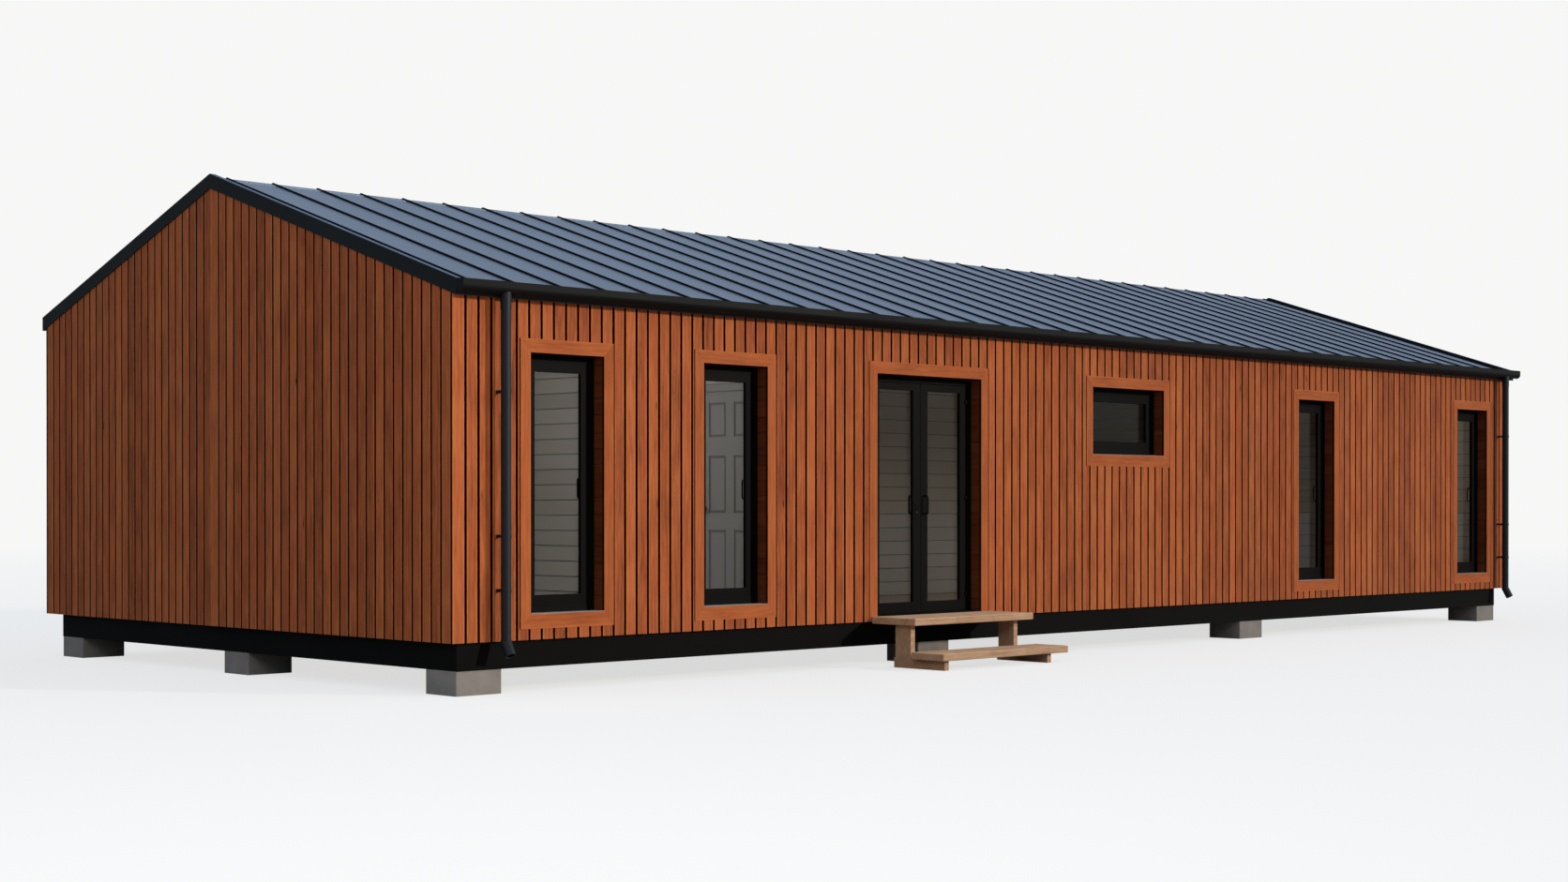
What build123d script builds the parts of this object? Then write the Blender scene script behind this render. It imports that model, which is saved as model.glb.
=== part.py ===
from build123d import *
import os

os.makedirs("parts", exist_ok=True)

# A timber-clad mobile home on blocks, in millimetres.
# X runs along the long front wall, Y from front to back and Z up from level ground.
# The origin is the middle of the footprint, on the ground.

# Overall plan, measured over the cladding
length = 16800
width = 6800

# Heights of the roof's underside above the cladding's lower edge
front_eave = 2715
back_eave = 2826
apex = 3890
ridge_from_front = 3627

# Blocks and chassis
block_height = 195
block_length = 440
block_depth = 405
block_edge = 6
block_columns = 4
block_row_inset = 5
chassis_depth = 220
beam_width = 100
chassis_inset_left = 64
chassis_inset_right = 307
chassis_inset_front = 40
chassis_inset_back = 223
cross_member_width = 60
cross_member_depth = 160
cross_members = 7

# Floor, walls and cladding
floor_thickness = 40
wall_thickness = 160
cladding_thickness = 40
partition_thickness = 90
partition_from_door = 690
inner_doorway_width = 860
inner_doorway_height = 2130
inner_doorway_from_front = 1160
spine_wall_from_ridge = 345
spine_wall_to_window = 820

# Window openings, measured inside the surround boards
tall_window_width = 760
tall_window_height = 2085
tall_window_bottom = 206
first_window = 1140
second_window = 3003
fourth_window_from_right = 4578
fifth_window_from_right = 950
small_window_width = 1229
small_window_height = 694
small_window_bottom = 1597
small_window_shift = 424

# Surrounds, frames, sashes and glass
surround_side = 100
surround_top = 110
surround_bottom = 120
lining = 12
reveal_depth = 130
frame_depth = 70
frame_face = 62
sash_step = 4
sash_depth = 55
sash_face = 80
glass_setback = 31
glass_edge = 12
glass_thickness = 24

# Double door
door_middle = 5524
door_width = 1473
door_top = 2294
threshold_height = 22
threshold_nose = 15
door_gap = 5
stop_lip = 12
stop_thickness = 6
leaf_stile = 100
leaf_top_rail = 68
leaf_bottom_rail = 90
hinge_radius = 8
hinge_height = 95
hinge_clearance = 1
hinge_running_gap = 0.3
hinge_flag = 28
frame_flag = 20
hinges = 3
hinge_inset = 150

# Pull handles
handle_radius = 9
handle_reach = 48
handle_height = 170
handle_middle = 1078
handle_bend = 22
handle_from_edge = 55

# Inner door, in the partition
inner_lining = 25
inner_stop_lip = 12
architrave_width = 65
architrave_thickness = 14
inner_leaf_thickness = 40
inner_leaf_lift = 6
inner_stile = 110
panel_rows = [(200, 800), (960, 1500), (1675, 2000)]
panel_depth = 10
panel_bevel_width = 25
panel_field_depth = 4
knob_height = 1000
knob_from_edge = 60
knob_radius = 26
knob_neck_radius = 9
knob_neck = 34
rose_radius = 27
rose_thickness = 7

# Roof
deck_thickness = 92
eave_overhang = 58
sheet_thickness = 6
sheet_lap = 18
seam_height = 16
seam_web = 6
seam_head = 11
seam_head_height = 6
seam_pitch = 471
seam_margin = 165
ridge_flashing_leg = 70
ridge_flashing_thickness = 4
ridge_flashing_gap = 2
verge_height = 130
verge_proud = 10
verge_cap = 45

# Gutters and downpipes
gutter_width = 100
gutter_depth = 100
gutter_wall = 4
gutter_bead = 7
gutter_rise = 30
gutter_notch = 22
back_gutter_setback = 110
pipe_radius = 40
pipe_wall = 4
left_pipe = 431
right_pipe_from_right = 290
shoe_height = 105
shoe_reach = 60
shoe_sleeve = 12
shoe_wall = 4
socket_wall = 3
socket_height = 135
saddle_rise = 20
saddle_gap = 0.5
bracket_wall = 4
bracket_height = 24
bracket_stem = 26
bracket_heights = [403, 829, 1962]

# Steps
step_shift = 30
upper_tread_length = 1684
upper_tread_depth = 536
upper_tread_rise = 45
lower_tread_length = 1786
lower_tread_depth = 394
lower_tread_drop = 305
tread_overlap = 52
tread_thickness = 64
tread_edge = 5
support_thickness = 55
support_inset = 85
post_depth = 190
post_setback = 129
runner_setback = 60
runner_tail = 200

# Levels and faces that follow from these sizes
cladding_bottom = block_height + chassis_depth
floor_top = cladding_bottom + floor_thickness
shell = cladding_thickness + wall_thickness
left = -length / 2
right = length / 2
lower_tread_back = upper_tread_depth - tread_overlap
step_reach = lower_tread_back + lower_tread_depth
gutter_reach = eave_overhang + gutter_width
pipe_from_wall = eave_overhang + gutter_width / 2
front = -(width + gutter_reach - step_reach) / 2
back = front + width
ridge_y = front + ridge_from_front
leaf_front = reveal_depth + sash_step

# Door opening
door_left = left + door_middle - door_width / 2
door_right = left + door_middle + door_width / 2
door_head = cladding_bottom + door_top
threshold_top = floor_top + threshold_height
leaf_bottom = threshold_top + door_gap
leaf_top = door_head - frame_face - door_gap
leaf_width = (door_width - 2 * frame_face - 3 * door_gap) / 2
left_hinge_edge = door_left + frame_face + door_gap
right_hinge_edge = door_right - frame_face - door_gap
hinge_y = front + reveal_depth - hinge_radius - hinge_clearance
hinge_spacing = (leaf_top - leaf_bottom - 2 * hinge_inset) / (hinges - 1)
hinge_middles = [leaf_bottom + hinge_inset + number * hinge_spacing for number in range(hinges)]
knuckle_height = (hinge_height - 2 * hinge_running_gap) / 3

# Window middles along the front
fourth_window = length - fourth_window_from_right
fifth_window = length - fifth_window_from_right
tall_windows = [left + x for x in (first_window, second_window, fourth_window, fifth_window)]
stretch_middle = (door_middle + door_width / 2 + fourth_window - tall_window_width / 2) / 2
small_windows = [left + stretch_middle - small_window_shift]
tall_sill = cladding_bottom + tall_window_bottom
small_sill = cladding_bottom + small_window_bottom
partition_x = door_left - partition_from_door
partition_left = partition_x - partition_thickness
spine_wall_y = ridge_y - spine_wall_from_ridge
spine_wall_end = left + fourth_window - tall_window_width / 2 - spine_wall_to_window

# Inner door opening, and its hinge line on the side of the end room
doorway_front = front + inner_doorway_from_front - inner_doorway_width / 2
doorway_back = doorway_front + inner_doorway_width
doorway_head = floor_top + inner_doorway_height
architrave_face = partition_left - architrave_thickness
inner_leaf_face = architrave_face + sash_step
inner_leaf_front = doorway_front + inner_lining + door_gap
inner_leaf_back = doorway_back - inner_lining - door_gap
inner_leaf_bottom = floor_top + inner_leaf_lift
inner_leaf_top = doorway_head - inner_lining - door_gap
inner_hinge_x = architrave_face - hinge_radius - hinge_clearance
inner_hinge_y = inner_leaf_front - door_gap / 2
inner_hinge_spacing = (inner_leaf_top - inner_leaf_bottom - 2 * hinge_inset) / (hinges - 1)
inner_hinge_middles = [inner_leaf_bottom + hinge_inset + number * inner_hinge_spacing for number in range(hinges)]


def underside(y):
    """Height of the roof's underside at a place between front and back."""
    if y <= ridge_y:
        share = (y - front) / ridge_from_front
        return cladding_bottom + front_eave + share * (apex - front_eave)
    share = (back - y) / (width - ridge_from_front)
    return cladding_bottom + back_eave + share * (apex - back_eave)


def elevation(y):
    """Upright plane along the front, drawn on with X to the right and Z up."""
    return Plane.XZ.offset(-y)


def cross_section(x):
    """Upright plane across the house, drawn on with Y to the right and Z up."""
    return Plane.YZ.offset(x)


def plate(x0, x1, z0, z1, y):
    """Upright rectangle facing the front, between two corners."""
    with BuildSketch(elevation(y), mode=Mode.PRIVATE) as face:
        with Locations(((x0 + x1) / 2, (z0 + z1) / 2)):
            Rectangle(x1 - x0, z1 - z0)
    return face.sketch


def cross_plate(y0, y1, z0, z1, x):
    """Upright rectangle facing the left gable, between two corners."""
    with BuildSketch(cross_section(x), mode=Mode.PRIVATE) as face:
        with Locations(((y0 + y1) / 2, (z0 + z1) / 2)):
            Rectangle(y1 - y0, z1 - z0)
    return face.sketch


def under_roof(y0, y1, bottom, x):
    """Cross section that stands on a level and runs up to the roof's underside."""
    corners = [(y0, bottom), (y1, bottom), (y1, underside(y1))]
    if y0 < ridge_y < y1:
        corners.append((ridge_y, underside(ridge_y)))
    corners.append((y0, underside(y0)))
    with BuildSketch(cross_section(x), mode=Mode.PRIVATE) as face:
        with BuildLine():
            Polyline(*corners, close=True)
        make_face()
    return face.sketch


def roof_band(y0, y1, low, high, x):
    """Band that follows one roof slope between two heights above its underside."""
    corners = [
        (y0, underside(y0) + low),
        (y1, underside(y1) + low),
        (y1, underside(y1) + high),
        (y0, underside(y0) + high),
    ]
    with BuildSketch(cross_section(x), mode=Mode.PRIVATE) as face:
        with BuildLine():
            Polyline(*corners, close=True)
        make_face()
    return face.sketch


def cut_windows(middles, sill, opening_width, opening_height, grow, y, depth):
    """Cut a row of window openings, grown on the sides, top and bottom, through a wall."""
    sides, above, below = grow
    for middle in middles:
        reach = opening_width / 2 + sides
        hole = plate(middle - reach, middle + reach, sill - below, sill + opening_height + above, y)
        extrude(hole, amount=-depth, mode=Mode.SUBTRACT)


def cut_all_windows(grow, y, depth):
    """Cut the tall windows and the small one through a wall."""
    cut_windows(tall_windows, tall_sill, tall_window_width, tall_window_height, grow, y, depth)
    cut_windows(small_windows, small_sill, small_window_width, small_window_height, grow, y, depth)


def window_ring(middle, sill, opening_width, opening_height, outer, inner, y, depth):
    """Rectangular ring round a window opening, its edges set out from that opening."""
    sides = opening_width / 2
    crown = sill + opening_height
    rim = plate(middle - sides - outer, middle + sides + outer, sill - outer, crown + outer, y)
    hole = plate(middle - sides - inner, middle + sides + inner, sill - inner, crown + inner, y)
    extrude(rim, amount=-depth)
    extrude(hole, amount=-depth, mode=Mode.SUBTRACT)


def window_surround(middle, sill, opening_width, opening_height):
    """Flat boards level with the cladding, with a lined reveal behind them."""
    sides = opening_width / 2
    crown = sill + opening_height
    boards = plate(
        middle - sides - surround_side,
        middle + sides + surround_side,
        sill - surround_bottom,
        crown + surround_top,
        front,
    )
    tube = plate(
        middle - sides - lining,
        middle + sides + lining,
        sill - lining,
        crown + lining,
        front + cladding_thickness,
    )
    hole = plate(middle - sides, middle + sides, sill, crown, front)
    extrude(boards, amount=-cladding_thickness)
    extrude(tube, amount=-(reveal_depth - cladding_thickness))
    extrude(hole, amount=-reveal_depth, mode=Mode.SUBTRACT)


def window_sash(middle, sill, opening_width, opening_height):
    """Sash ring with a rebate on the room side that holds the glass."""
    outer = -frame_face
    inner = -frame_face - sash_face
    window_ring(middle, sill, opening_width, opening_height, outer, inner, front + leaf_front, sash_depth)
    sides = opening_width / 2 + inner + glass_edge
    rebate = plate(
        middle - sides,
        middle + sides,
        sill - inner - glass_edge,
        sill + opening_height + inner + glass_edge,
        front + leaf_front + glass_setback,
    )
    extrude(rebate, amount=-glass_thickness, mode=Mode.SUBTRACT)


def window_glass(middle, sill, opening_width, opening_height):
    """Glass unit that fills the sash's rebate."""
    inset = frame_face + sash_face - glass_edge
    sides = opening_width / 2 - inset
    pane = plate(
        middle - sides,
        middle + sides,
        sill + inset,
        sill + opening_height - inset,
        front + leaf_front + glass_setback,
    )
    extrude(pane, amount=-glass_thickness)


def repeat_at_back():
    """Repeat the pieces of the front windows in the back wall."""
    mirror(about=elevation((front + back) / 2))


def wall_run(x0, x1, y0, y1, bottom):
    """Straight length of wall or cladding along X, up to the roof."""
    extrude(under_roof(y0, y1, bottom, x0), amount=x1 - x0)


def knuckle(axis_x, middle, flag_end, face):
    """One hinge knuckle on its axis, with a flag that reaches back to a leaf or a frame."""
    flag_depth = front + face - hinge_y
    with Locations((axis_x, hinge_y, middle)):
        Cylinder(hinge_radius, knuckle_height)
    with Locations(((axis_x + flag_end) / 2, hinge_y + flag_depth / 2, middle)):
        Box(abs(flag_end - axis_x), flag_depth, knuckle_height)


def frame_knuckles(hinge_x, towards_meeting):
    """Knuckles on the door frame, above and below each knuckle of a leaf."""
    axis_x = hinge_x - towards_meeting * door_gap / 2
    for middle in hinge_middles:
        for side in (-1, 1):
            height = middle + side * (knuckle_height + hinge_running_gap)
            knuckle(axis_x, height, axis_x - towards_meeting * frame_flag, reveal_depth)


def door_leaf(hinge_x, towards_meeting):
    """Glazed leaf with stiles, rails, a rebate for its glass and hinge knuckles outside."""
    x0, x1 = sorted((hinge_x, hinge_x + towards_meeting * leaf_width))
    outline = plate(x0, x1, leaf_bottom, leaf_top, front + leaf_front)
    light = plate(
        x0 + leaf_stile,
        x1 - leaf_stile,
        leaf_bottom + leaf_bottom_rail,
        leaf_top - leaf_top_rail,
        front + leaf_front,
    )
    rebate = plate(
        x0 + leaf_stile - glass_edge,
        x1 - leaf_stile + glass_edge,
        leaf_bottom + leaf_bottom_rail - glass_edge,
        leaf_top - leaf_top_rail + glass_edge,
        front + leaf_front + glass_setback,
    )
    extrude(outline, amount=-sash_depth)
    extrude(light, amount=-sash_depth, mode=Mode.SUBTRACT)
    extrude(rebate, amount=-glass_thickness, mode=Mode.SUBTRACT)
    axis_x = hinge_x - towards_meeting * door_gap / 2
    for middle in hinge_middles:
        knuckle(axis_x, middle, hinge_x + towards_meeting * hinge_flag, leaf_front)


def door_glass(hinge_x, towards_meeting):
    """Glass unit that fills a door leaf's rebate."""
    x0, x1 = sorted((hinge_x, hinge_x + towards_meeting * leaf_width))
    pane = plate(
        x0 + leaf_stile - glass_edge,
        x1 - leaf_stile + glass_edge,
        leaf_bottom + leaf_bottom_rail - glass_edge,
        leaf_top - leaf_top_rail + glass_edge,
        front + leaf_front + glass_setback,
    )
    extrude(pane, amount=-glass_thickness)


def pull_handle(x, face_y, outwards):
    """Round bar bent to a D, standing on a leaf's face."""
    high = cladding_bottom + handle_middle + handle_height / 2
    low = high - handle_height
    reach = face_y + outwards * handle_reach
    with BuildLine(mode=Mode.PRIVATE) as bar:
        FilletPolyline((x, face_y, high), (x, reach, high), (x, reach, low), (x, face_y, low), radius=handle_bend)
    start = Plane(origin=(x, face_y, high), z_dir=(0, outwards, 0))
    with BuildSketch(start, mode=Mode.PRIVATE) as section:
        Circle(handle_radius)
    sweep(section.sketch, path=bar.wire())


def inner_knuckle(middle, flag_end, face):
    """One knuckle of the inner door's hinges, with a flag that reaches back to a face."""
    flag_depth = face - inner_hinge_x
    with Locations((inner_hinge_x, inner_hinge_y, middle)):
        Cylinder(hinge_radius, knuckle_height)
    with Locations((inner_hinge_x + flag_depth / 2, (inner_hinge_y + flag_end) / 2, middle)):
        Box(flag_depth, abs(flag_end - inner_hinge_y), knuckle_height)


def sunk_panels(face_x, inwards):
    """Six panels sunk into one face of the inner leaf, each with a raised field."""
    inner_edges = (
        (inner_leaf_front + inner_leaf_back - inner_stile) / 2,
        (inner_leaf_front + inner_leaf_back + inner_stile) / 2,
    )
    columns = [
        (inner_leaf_front + inner_stile, inner_edges[0]),
        (inner_edges[1], inner_leaf_back - inner_stile),
    ]
    field_bottom = face_x + inwards * panel_depth
    for y0, y1 in columns:
        for low, high in panel_rows:
            z0 = floor_top + low
            z1 = floor_top + high
            extrude(cross_plate(y0, y1, z0, z1, face_x), amount=inwards * panel_depth, mode=Mode.SUBTRACT)
            field = cross_plate(
                y0 + panel_bevel_width,
                y1 - panel_bevel_width,
                z0 + panel_bevel_width,
                z1 - panel_bevel_width,
                field_bottom,
            )
            extrude(field, amount=-inwards * (panel_depth - panel_field_depth))


def door_knob(face_x, outwards):
    """Round knob on a short neck with a rose against the leaf."""
    y = inner_leaf_back - knob_from_edge
    z = floor_top + knob_height
    neck_length = rose_thickness + knob_neck
    with Locations((face_x + outwards * rose_thickness / 2, y, z)):
        Cylinder(rose_radius, rose_thickness, rotation=(0, 90, 0))
    with Locations((face_x + outwards * neck_length / 2, y, z)):
        Cylinder(knob_neck_radius, neck_length, rotation=(0, 90, 0))
    with Locations((face_x + outwards * (neck_length + knob_radius / 2), y, z)):
        Sphere(knob_radius)


def gutter(eave_y, outwards, run):
    """Deep half-round gutter with a rolled lip and closed ends, open above its trough."""
    ends_under_sheet = run < length
    top = underside(eave_y) + deck_thickness + gutter_rise
    across = Plane(origin=(0, eave_y, top), x_dir=(0, outwards, 0), z_dir=(outwards, 0, 0))
    round_part = gutter_width / 2
    straight = gutter_depth - round_part
    inner = round_part - gutter_wall
    with BuildSketch(across, mode=Mode.PRIVATE) as outside:
        with Locations((round_part, -straight / 2)):
            Rectangle(gutter_width, straight)
        with Locations((round_part, -straight)):
            Circle(round_part)
    with BuildSketch(across, mode=Mode.PRIVATE) as trough:
        with Locations((round_part, -straight / 2)):
            Rectangle(2 * inner, straight)
        with Locations((round_part, -straight)):
            Circle(inner)
        with Locations((gutter_wall / 2, -straight / 2)):
            Rectangle(gutter_wall, straight)
    with BuildSketch(across, mode=Mode.PRIVATE) as lip:
        with Locations((gutter_width - gutter_bead, -gutter_bead)):
            Circle(gutter_bead)
    extrude(outside.sketch, amount=run / 2, both=True)
    extrude(trough.sketch, amount=run / 2 - gutter_wall, both=True, mode=Mode.SUBTRACT)
    extrude(lip.sketch, amount=run / 2 - gutter_wall, both=True)
    if ends_under_sheet:
        notch_depth = gutter_rise + gutter_notch / 2
        with BuildSketch(across, mode=Mode.PRIVATE) as notch:
            with Locations((gutter_notch / 2, -notch_depth / 2)):
                Rectangle(gutter_notch, notch_depth)
        extrude(notch.sketch, amount=run / 2, both=True, mode=Mode.SUBTRACT)


def downpipe(x, face_y, outwards):
    """Straight round pipe saddled under the gutter, with its socket, brackets and mitred shoe."""
    eave_y = face_y + outwards * eave_overhang
    pipe_y = face_y + outwards * pipe_from_wall
    gutter_bottom = underside(eave_y) + deck_thickness + gutter_rise - gutter_depth
    pipe_top = gutter_bottom + saddle_rise
    saddle_radius = gutter_width / 2 + saddle_gap
    corner = (x, pipe_y, cladding_bottom)
    shoe_end = (x, pipe_y + outwards * shoe_reach, cladding_bottom - shoe_height)
    beyond = (x, pipe_y + outwards * 2 * shoe_reach, cladding_bottom - 2 * shoe_height)
    pipe_length = pipe_top - cladding_bottom
    with BuildLine(mode=Mode.PRIVATE) as shoe_path:
        Polyline((x, pipe_y, cladding_bottom + shoe_sleeve), corner, shoe_end)
    with BuildLine(mode=Mode.PRIVATE) as bore_path:
        Polyline((x, pipe_y, pipe_top + socket_wall), corner, beyond)
    with BuildSketch(Plane.XY.offset(cladding_bottom + shoe_sleeve), mode=Mode.PRIVATE) as shoe:
        with Locations((x, pipe_y)):
            Circle(pipe_radius + shoe_wall)
    with BuildSketch(Plane.XY.offset(pipe_top + socket_wall), mode=Mode.PRIVATE) as bore:
        with Locations((x, pipe_y)):
            Circle(pipe_radius - pipe_wall)
    with Locations((x, pipe_y, cladding_bottom + pipe_length / 2)):
        Cylinder(pipe_radius, pipe_length)
    sweep(shoe.sketch, path=shoe_path.wire(), transition=Transition.RIGHT)
    with Locations((x, pipe_y, pipe_top - socket_height / 2)):
        Cylinder(pipe_radius + socket_wall, socket_height)
    with Locations((x, pipe_y, gutter_bottom + gutter_width / 2)):
        Cylinder(saddle_radius, 4 * pipe_radius, rotation=(0, 90, 0), mode=Mode.SUBTRACT)
    for height in bracket_heights:
        with Locations((x, pipe_y, cladding_bottom + height)):
            Cylinder(pipe_radius + bracket_wall, bracket_height)
        with Locations((x, face_y + outwards * pipe_from_wall / 2, cladding_bottom + height)):
            Box(bracket_stem, pipe_from_wall, bracket_height)
    sweep(bore.sketch, path=bore_path.wire(), transition=Transition.RIGHT, mode=Mode.SUBTRACT)


def seam_places():
    """Evenly spaced places of the roof's standing seams along the house."""
    bays = round((length - 2 * seam_margin) / seam_pitch)
    step = (length - 2 * seam_margin) / bays
    return [left + seam_margin + number * step for number in range(bays + 1)]


def roof_sheet(eave_y, ridge_end):
    """Metal sheet on one slope with its standing seams, from the eave up to the ridge."""
    low = underside(eave_y) + deck_thickness
    rise = underside(ridge_end) - underside(eave_y)
    run = ridge_end - eave_y
    with BuildSketch(elevation(eave_y), mode=Mode.PRIVATE) as section:
        with Locations((0, low + sheet_thickness / 2)):
            Rectangle(length, sheet_thickness)
        for x in seams:
            with Locations((x, low + sheet_thickness + seam_height / 2)):
                Rectangle(seam_web, seam_height)
            with Locations((x, low + sheet_thickness + seam_height - seam_head_height / 2)):
                Rectangle(seam_head, seam_head_height)
    slope = Vector(0, run, rise)
    extrude(section.sketch, amount=slope.length, dir=slope.normalized())


def verge_trim(face_x, inwards):
    """Folded trim along both slopes of a gable, capping the roof sheets' edge."""
    for y0, y1 in ((front - eave_overhang, ridge_y), (ridge_y, back + eave_overhang)):
        fascia = roof_band(y0, y1, 0, verge_height, face_x)
        extrude(fascia, amount=-inwards * verge_proud)
        cap = roof_band(y0, y1, deck_thickness + sheet_thickness, verge_height, face_x)
        extrude(cap, amount=inwards * verge_cap)


seams = seam_places()

# Ground and chassis
chassis_left = left + chassis_inset_left
chassis_right = right - chassis_inset_right
chassis_front = front + chassis_inset_front
chassis_back = back - chassis_inset_back
beam_rows = [
    chassis_front + beam_width / 2,
    (chassis_front + chassis_back) / 2,
    chassis_back - beam_width / 2,
]

with BuildPart() as foundation_blocks:
    first = chassis_left + block_length / 2
    spacing = (chassis_right - chassis_left - block_length) / (block_columns - 1)
    rows = [
        chassis_front + block_row_inset + block_depth / 2,
        (chassis_front + chassis_back) / 2,
        chassis_back - block_row_inset - block_depth / 2,
    ]
    with BuildSketch():
        with Locations(*[(first + n * spacing, row) for n in range(block_columns) for row in rows]):
            Rectangle(block_length, block_depth)
    extrude(amount=block_height)
    chamfer(foundation_blocks.edges().filter_by(Axis.Z), length=block_edge)
foundation_blocks.part.label = "foundation_blocks"
export_step(foundation_blocks.part, "parts/foundation_blocks.step")

with BuildPart() as chassis_long_beams:
    with BuildSketch(Plane.XY.offset(block_height)):
        with Locations(*[((chassis_left + chassis_right) / 2, row) for row in beam_rows]):
            Rectangle(chassis_right - chassis_left, beam_width)
    extrude(amount=chassis_depth)
chassis_long_beams.part.label = "chassis_long_beams"
export_step(chassis_long_beams.part, "parts/chassis_long_beams.step")

bay_length = (chassis_back - chassis_front - 3 * beam_width) / 2
bay_middles = [
    (beam_rows[0] + beam_rows[1]) / 2,
    (beam_rows[1] + beam_rows[2]) / 2,
]

with BuildPart() as chassis_end_beams:
    with BuildSketch(Plane.XY.offset(block_height)):
        for x in (chassis_left + beam_width / 2, chassis_right - beam_width / 2):
            with Locations(*[(x, middle) for middle in bay_middles]):
                Rectangle(beam_width, bay_length)
    extrude(amount=chassis_depth)
chassis_end_beams.part.label = "chassis_end_beams"
export_step(chassis_end_beams.part, "parts/chassis_end_beams.step")

with BuildPart() as chassis_cross_members:
    bay = (chassis_right - chassis_left - beam_width) / (cross_members + 1)
    with BuildSketch(Plane.XY.offset(cladding_bottom - cross_member_depth)):
        for number in range(1, cross_members + 1):
            x = chassis_left + beam_width / 2 + number * bay
            with Locations(*[(x, middle) for middle in bay_middles]):
                Rectangle(cross_member_width, bay_length)
    extrude(amount=cross_member_depth)
chassis_cross_members.part.label = "chassis_cross_members"
export_step(chassis_cross_members.part, "parts/chassis_cross_members.step")

with BuildPart() as floor_deck:
    with BuildSketch(Plane.XY.offset(cladding_bottom)):
        with Locations((0, (front + back) / 2)):
            Rectangle(length - 2 * cladding_thickness, width - 2 * cladding_thickness)
    extrude(amount=floor_thickness)
floor_deck.part.label = "floor_deck"
export_step(floor_deck.part, "parts/floor_deck.step")

# Walls, each up to the roof's underside
wall_left = left + cladding_thickness
wall_right = right - cladding_thickness
wall_front = front + cladding_thickness
wall_back = back - cladding_thickness
wall_hole = (lining, lining, lining)
cladding_hole = (surround_side, surround_top, surround_bottom)

with BuildPart() as front_wall_left:
    wall_run(wall_left, door_left - lining, wall_front, front + shell, floor_top)
    cut_all_windows(wall_hole, wall_front, wall_thickness)
front_wall_left.part.label = "front_wall_left"
export_step(front_wall_left.part, "parts/front_wall_left.step")

with BuildPart() as front_wall_over_door:
    wall_run(door_left - lining, door_right + lining, wall_front, front + shell, door_head + lining)
front_wall_over_door.part.label = "front_wall_over_door"
export_step(front_wall_over_door.part, "parts/front_wall_over_door.step")

with BuildPart() as front_wall_right:
    wall_run(door_right + lining, wall_right, wall_front, front + shell, floor_top)
    cut_all_windows(wall_hole, wall_front, wall_thickness)
front_wall_right.part.label = "front_wall_right"
export_step(front_wall_right.part, "parts/front_wall_right.step")

with BuildPart() as back_wall:
    wall_run(wall_left, wall_right, back - shell, wall_back, floor_top)
    cut_all_windows(wall_hole, back - shell, wall_thickness)
back_wall.part.label = "back_wall"
export_step(back_wall.part, "parts/back_wall.step")

with BuildPart() as left_gable_wall:
    extrude(under_roof(front + shell, back - shell, floor_top, wall_left), amount=wall_thickness)
left_gable_wall.part.label = "left_gable_wall"
export_step(left_gable_wall.part, "parts/left_gable_wall.step")

with BuildPart() as right_gable_wall:
    extrude(under_roof(front + shell, back - shell, floor_top, wall_right), amount=-wall_thickness)
right_gable_wall.part.label = "right_gable_wall"
export_step(right_gable_wall.part, "parts/right_gable_wall.step")

# Partition beside and over the inner door, and the wall along the middle of the house
with BuildPart() as partition_front:
    extrude(under_roof(front + shell, doorway_front, floor_top, partition_x), amount=-partition_thickness)
partition_front.part.label = "partition_front"
export_step(partition_front.part, "parts/partition_front.step")

with BuildPart() as partition_over_door:
    extrude(under_roof(doorway_front, doorway_back, doorway_head, partition_x), amount=-partition_thickness)
partition_over_door.part.label = "partition_over_door"
export_step(partition_over_door.part, "parts/partition_over_door.step")

with BuildPart() as partition_back:
    extrude(under_roof(doorway_back, back - shell, floor_top, partition_x), amount=-partition_thickness)
partition_back.part.label = "partition_back"
export_step(partition_back.part, "parts/partition_back.step")

with BuildPart() as spine_wall:
    wall_run(partition_x, spine_wall_end, spine_wall_y, spine_wall_y + partition_thickness, floor_top)
spine_wall.part.label = "spine_wall"
export_step(spine_wall.part, "parts/spine_wall.step")

# Inner door, opening into the end room
with BuildPart() as inner_door_frame:
    lining_front = doorway_front + inner_lining
    lining_back = doorway_back - inner_lining
    lining_head = doorway_head - inner_lining
    stop_x = inner_leaf_face + inner_leaf_thickness + door_gap
    architraves = cross_plate(
        lining_front - architrave_width,
        lining_back + architrave_width,
        floor_top,
        lining_head + architrave_width,
        architrave_face,
    )
    extrude(architraves, amount=architrave_thickness)
    extrude(architraves.moved(Location((partition_x - architrave_face, 0, 0))), amount=architrave_thickness)
    extrude(
        cross_plate(doorway_front, doorway_back, floor_top, doorway_head, partition_left),
        amount=partition_thickness,
    )
    extrude(
        cross_plate(lining_front, lining_back, floor_top, lining_head, architrave_face),
        amount=stop_x - architrave_face,
        mode=Mode.SUBTRACT,
    )
    extrude(
        cross_plate(
            lining_front + inner_stop_lip,
            lining_back - inner_stop_lip,
            floor_top,
            lining_head - inner_stop_lip,
            architrave_face,
        ),
        amount=partition_thickness + 2 * architrave_thickness,
        mode=Mode.SUBTRACT,
    )
    for middle in inner_hinge_middles:
        for side in (-1, 1):
            height = middle + side * (knuckle_height + hinge_running_gap)
            inner_knuckle(height, inner_hinge_y - frame_flag, architrave_face)
inner_door_frame.part.label = "inner_door_frame"
export_step(inner_door_frame.part, "parts/inner_door_frame.step")

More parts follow.
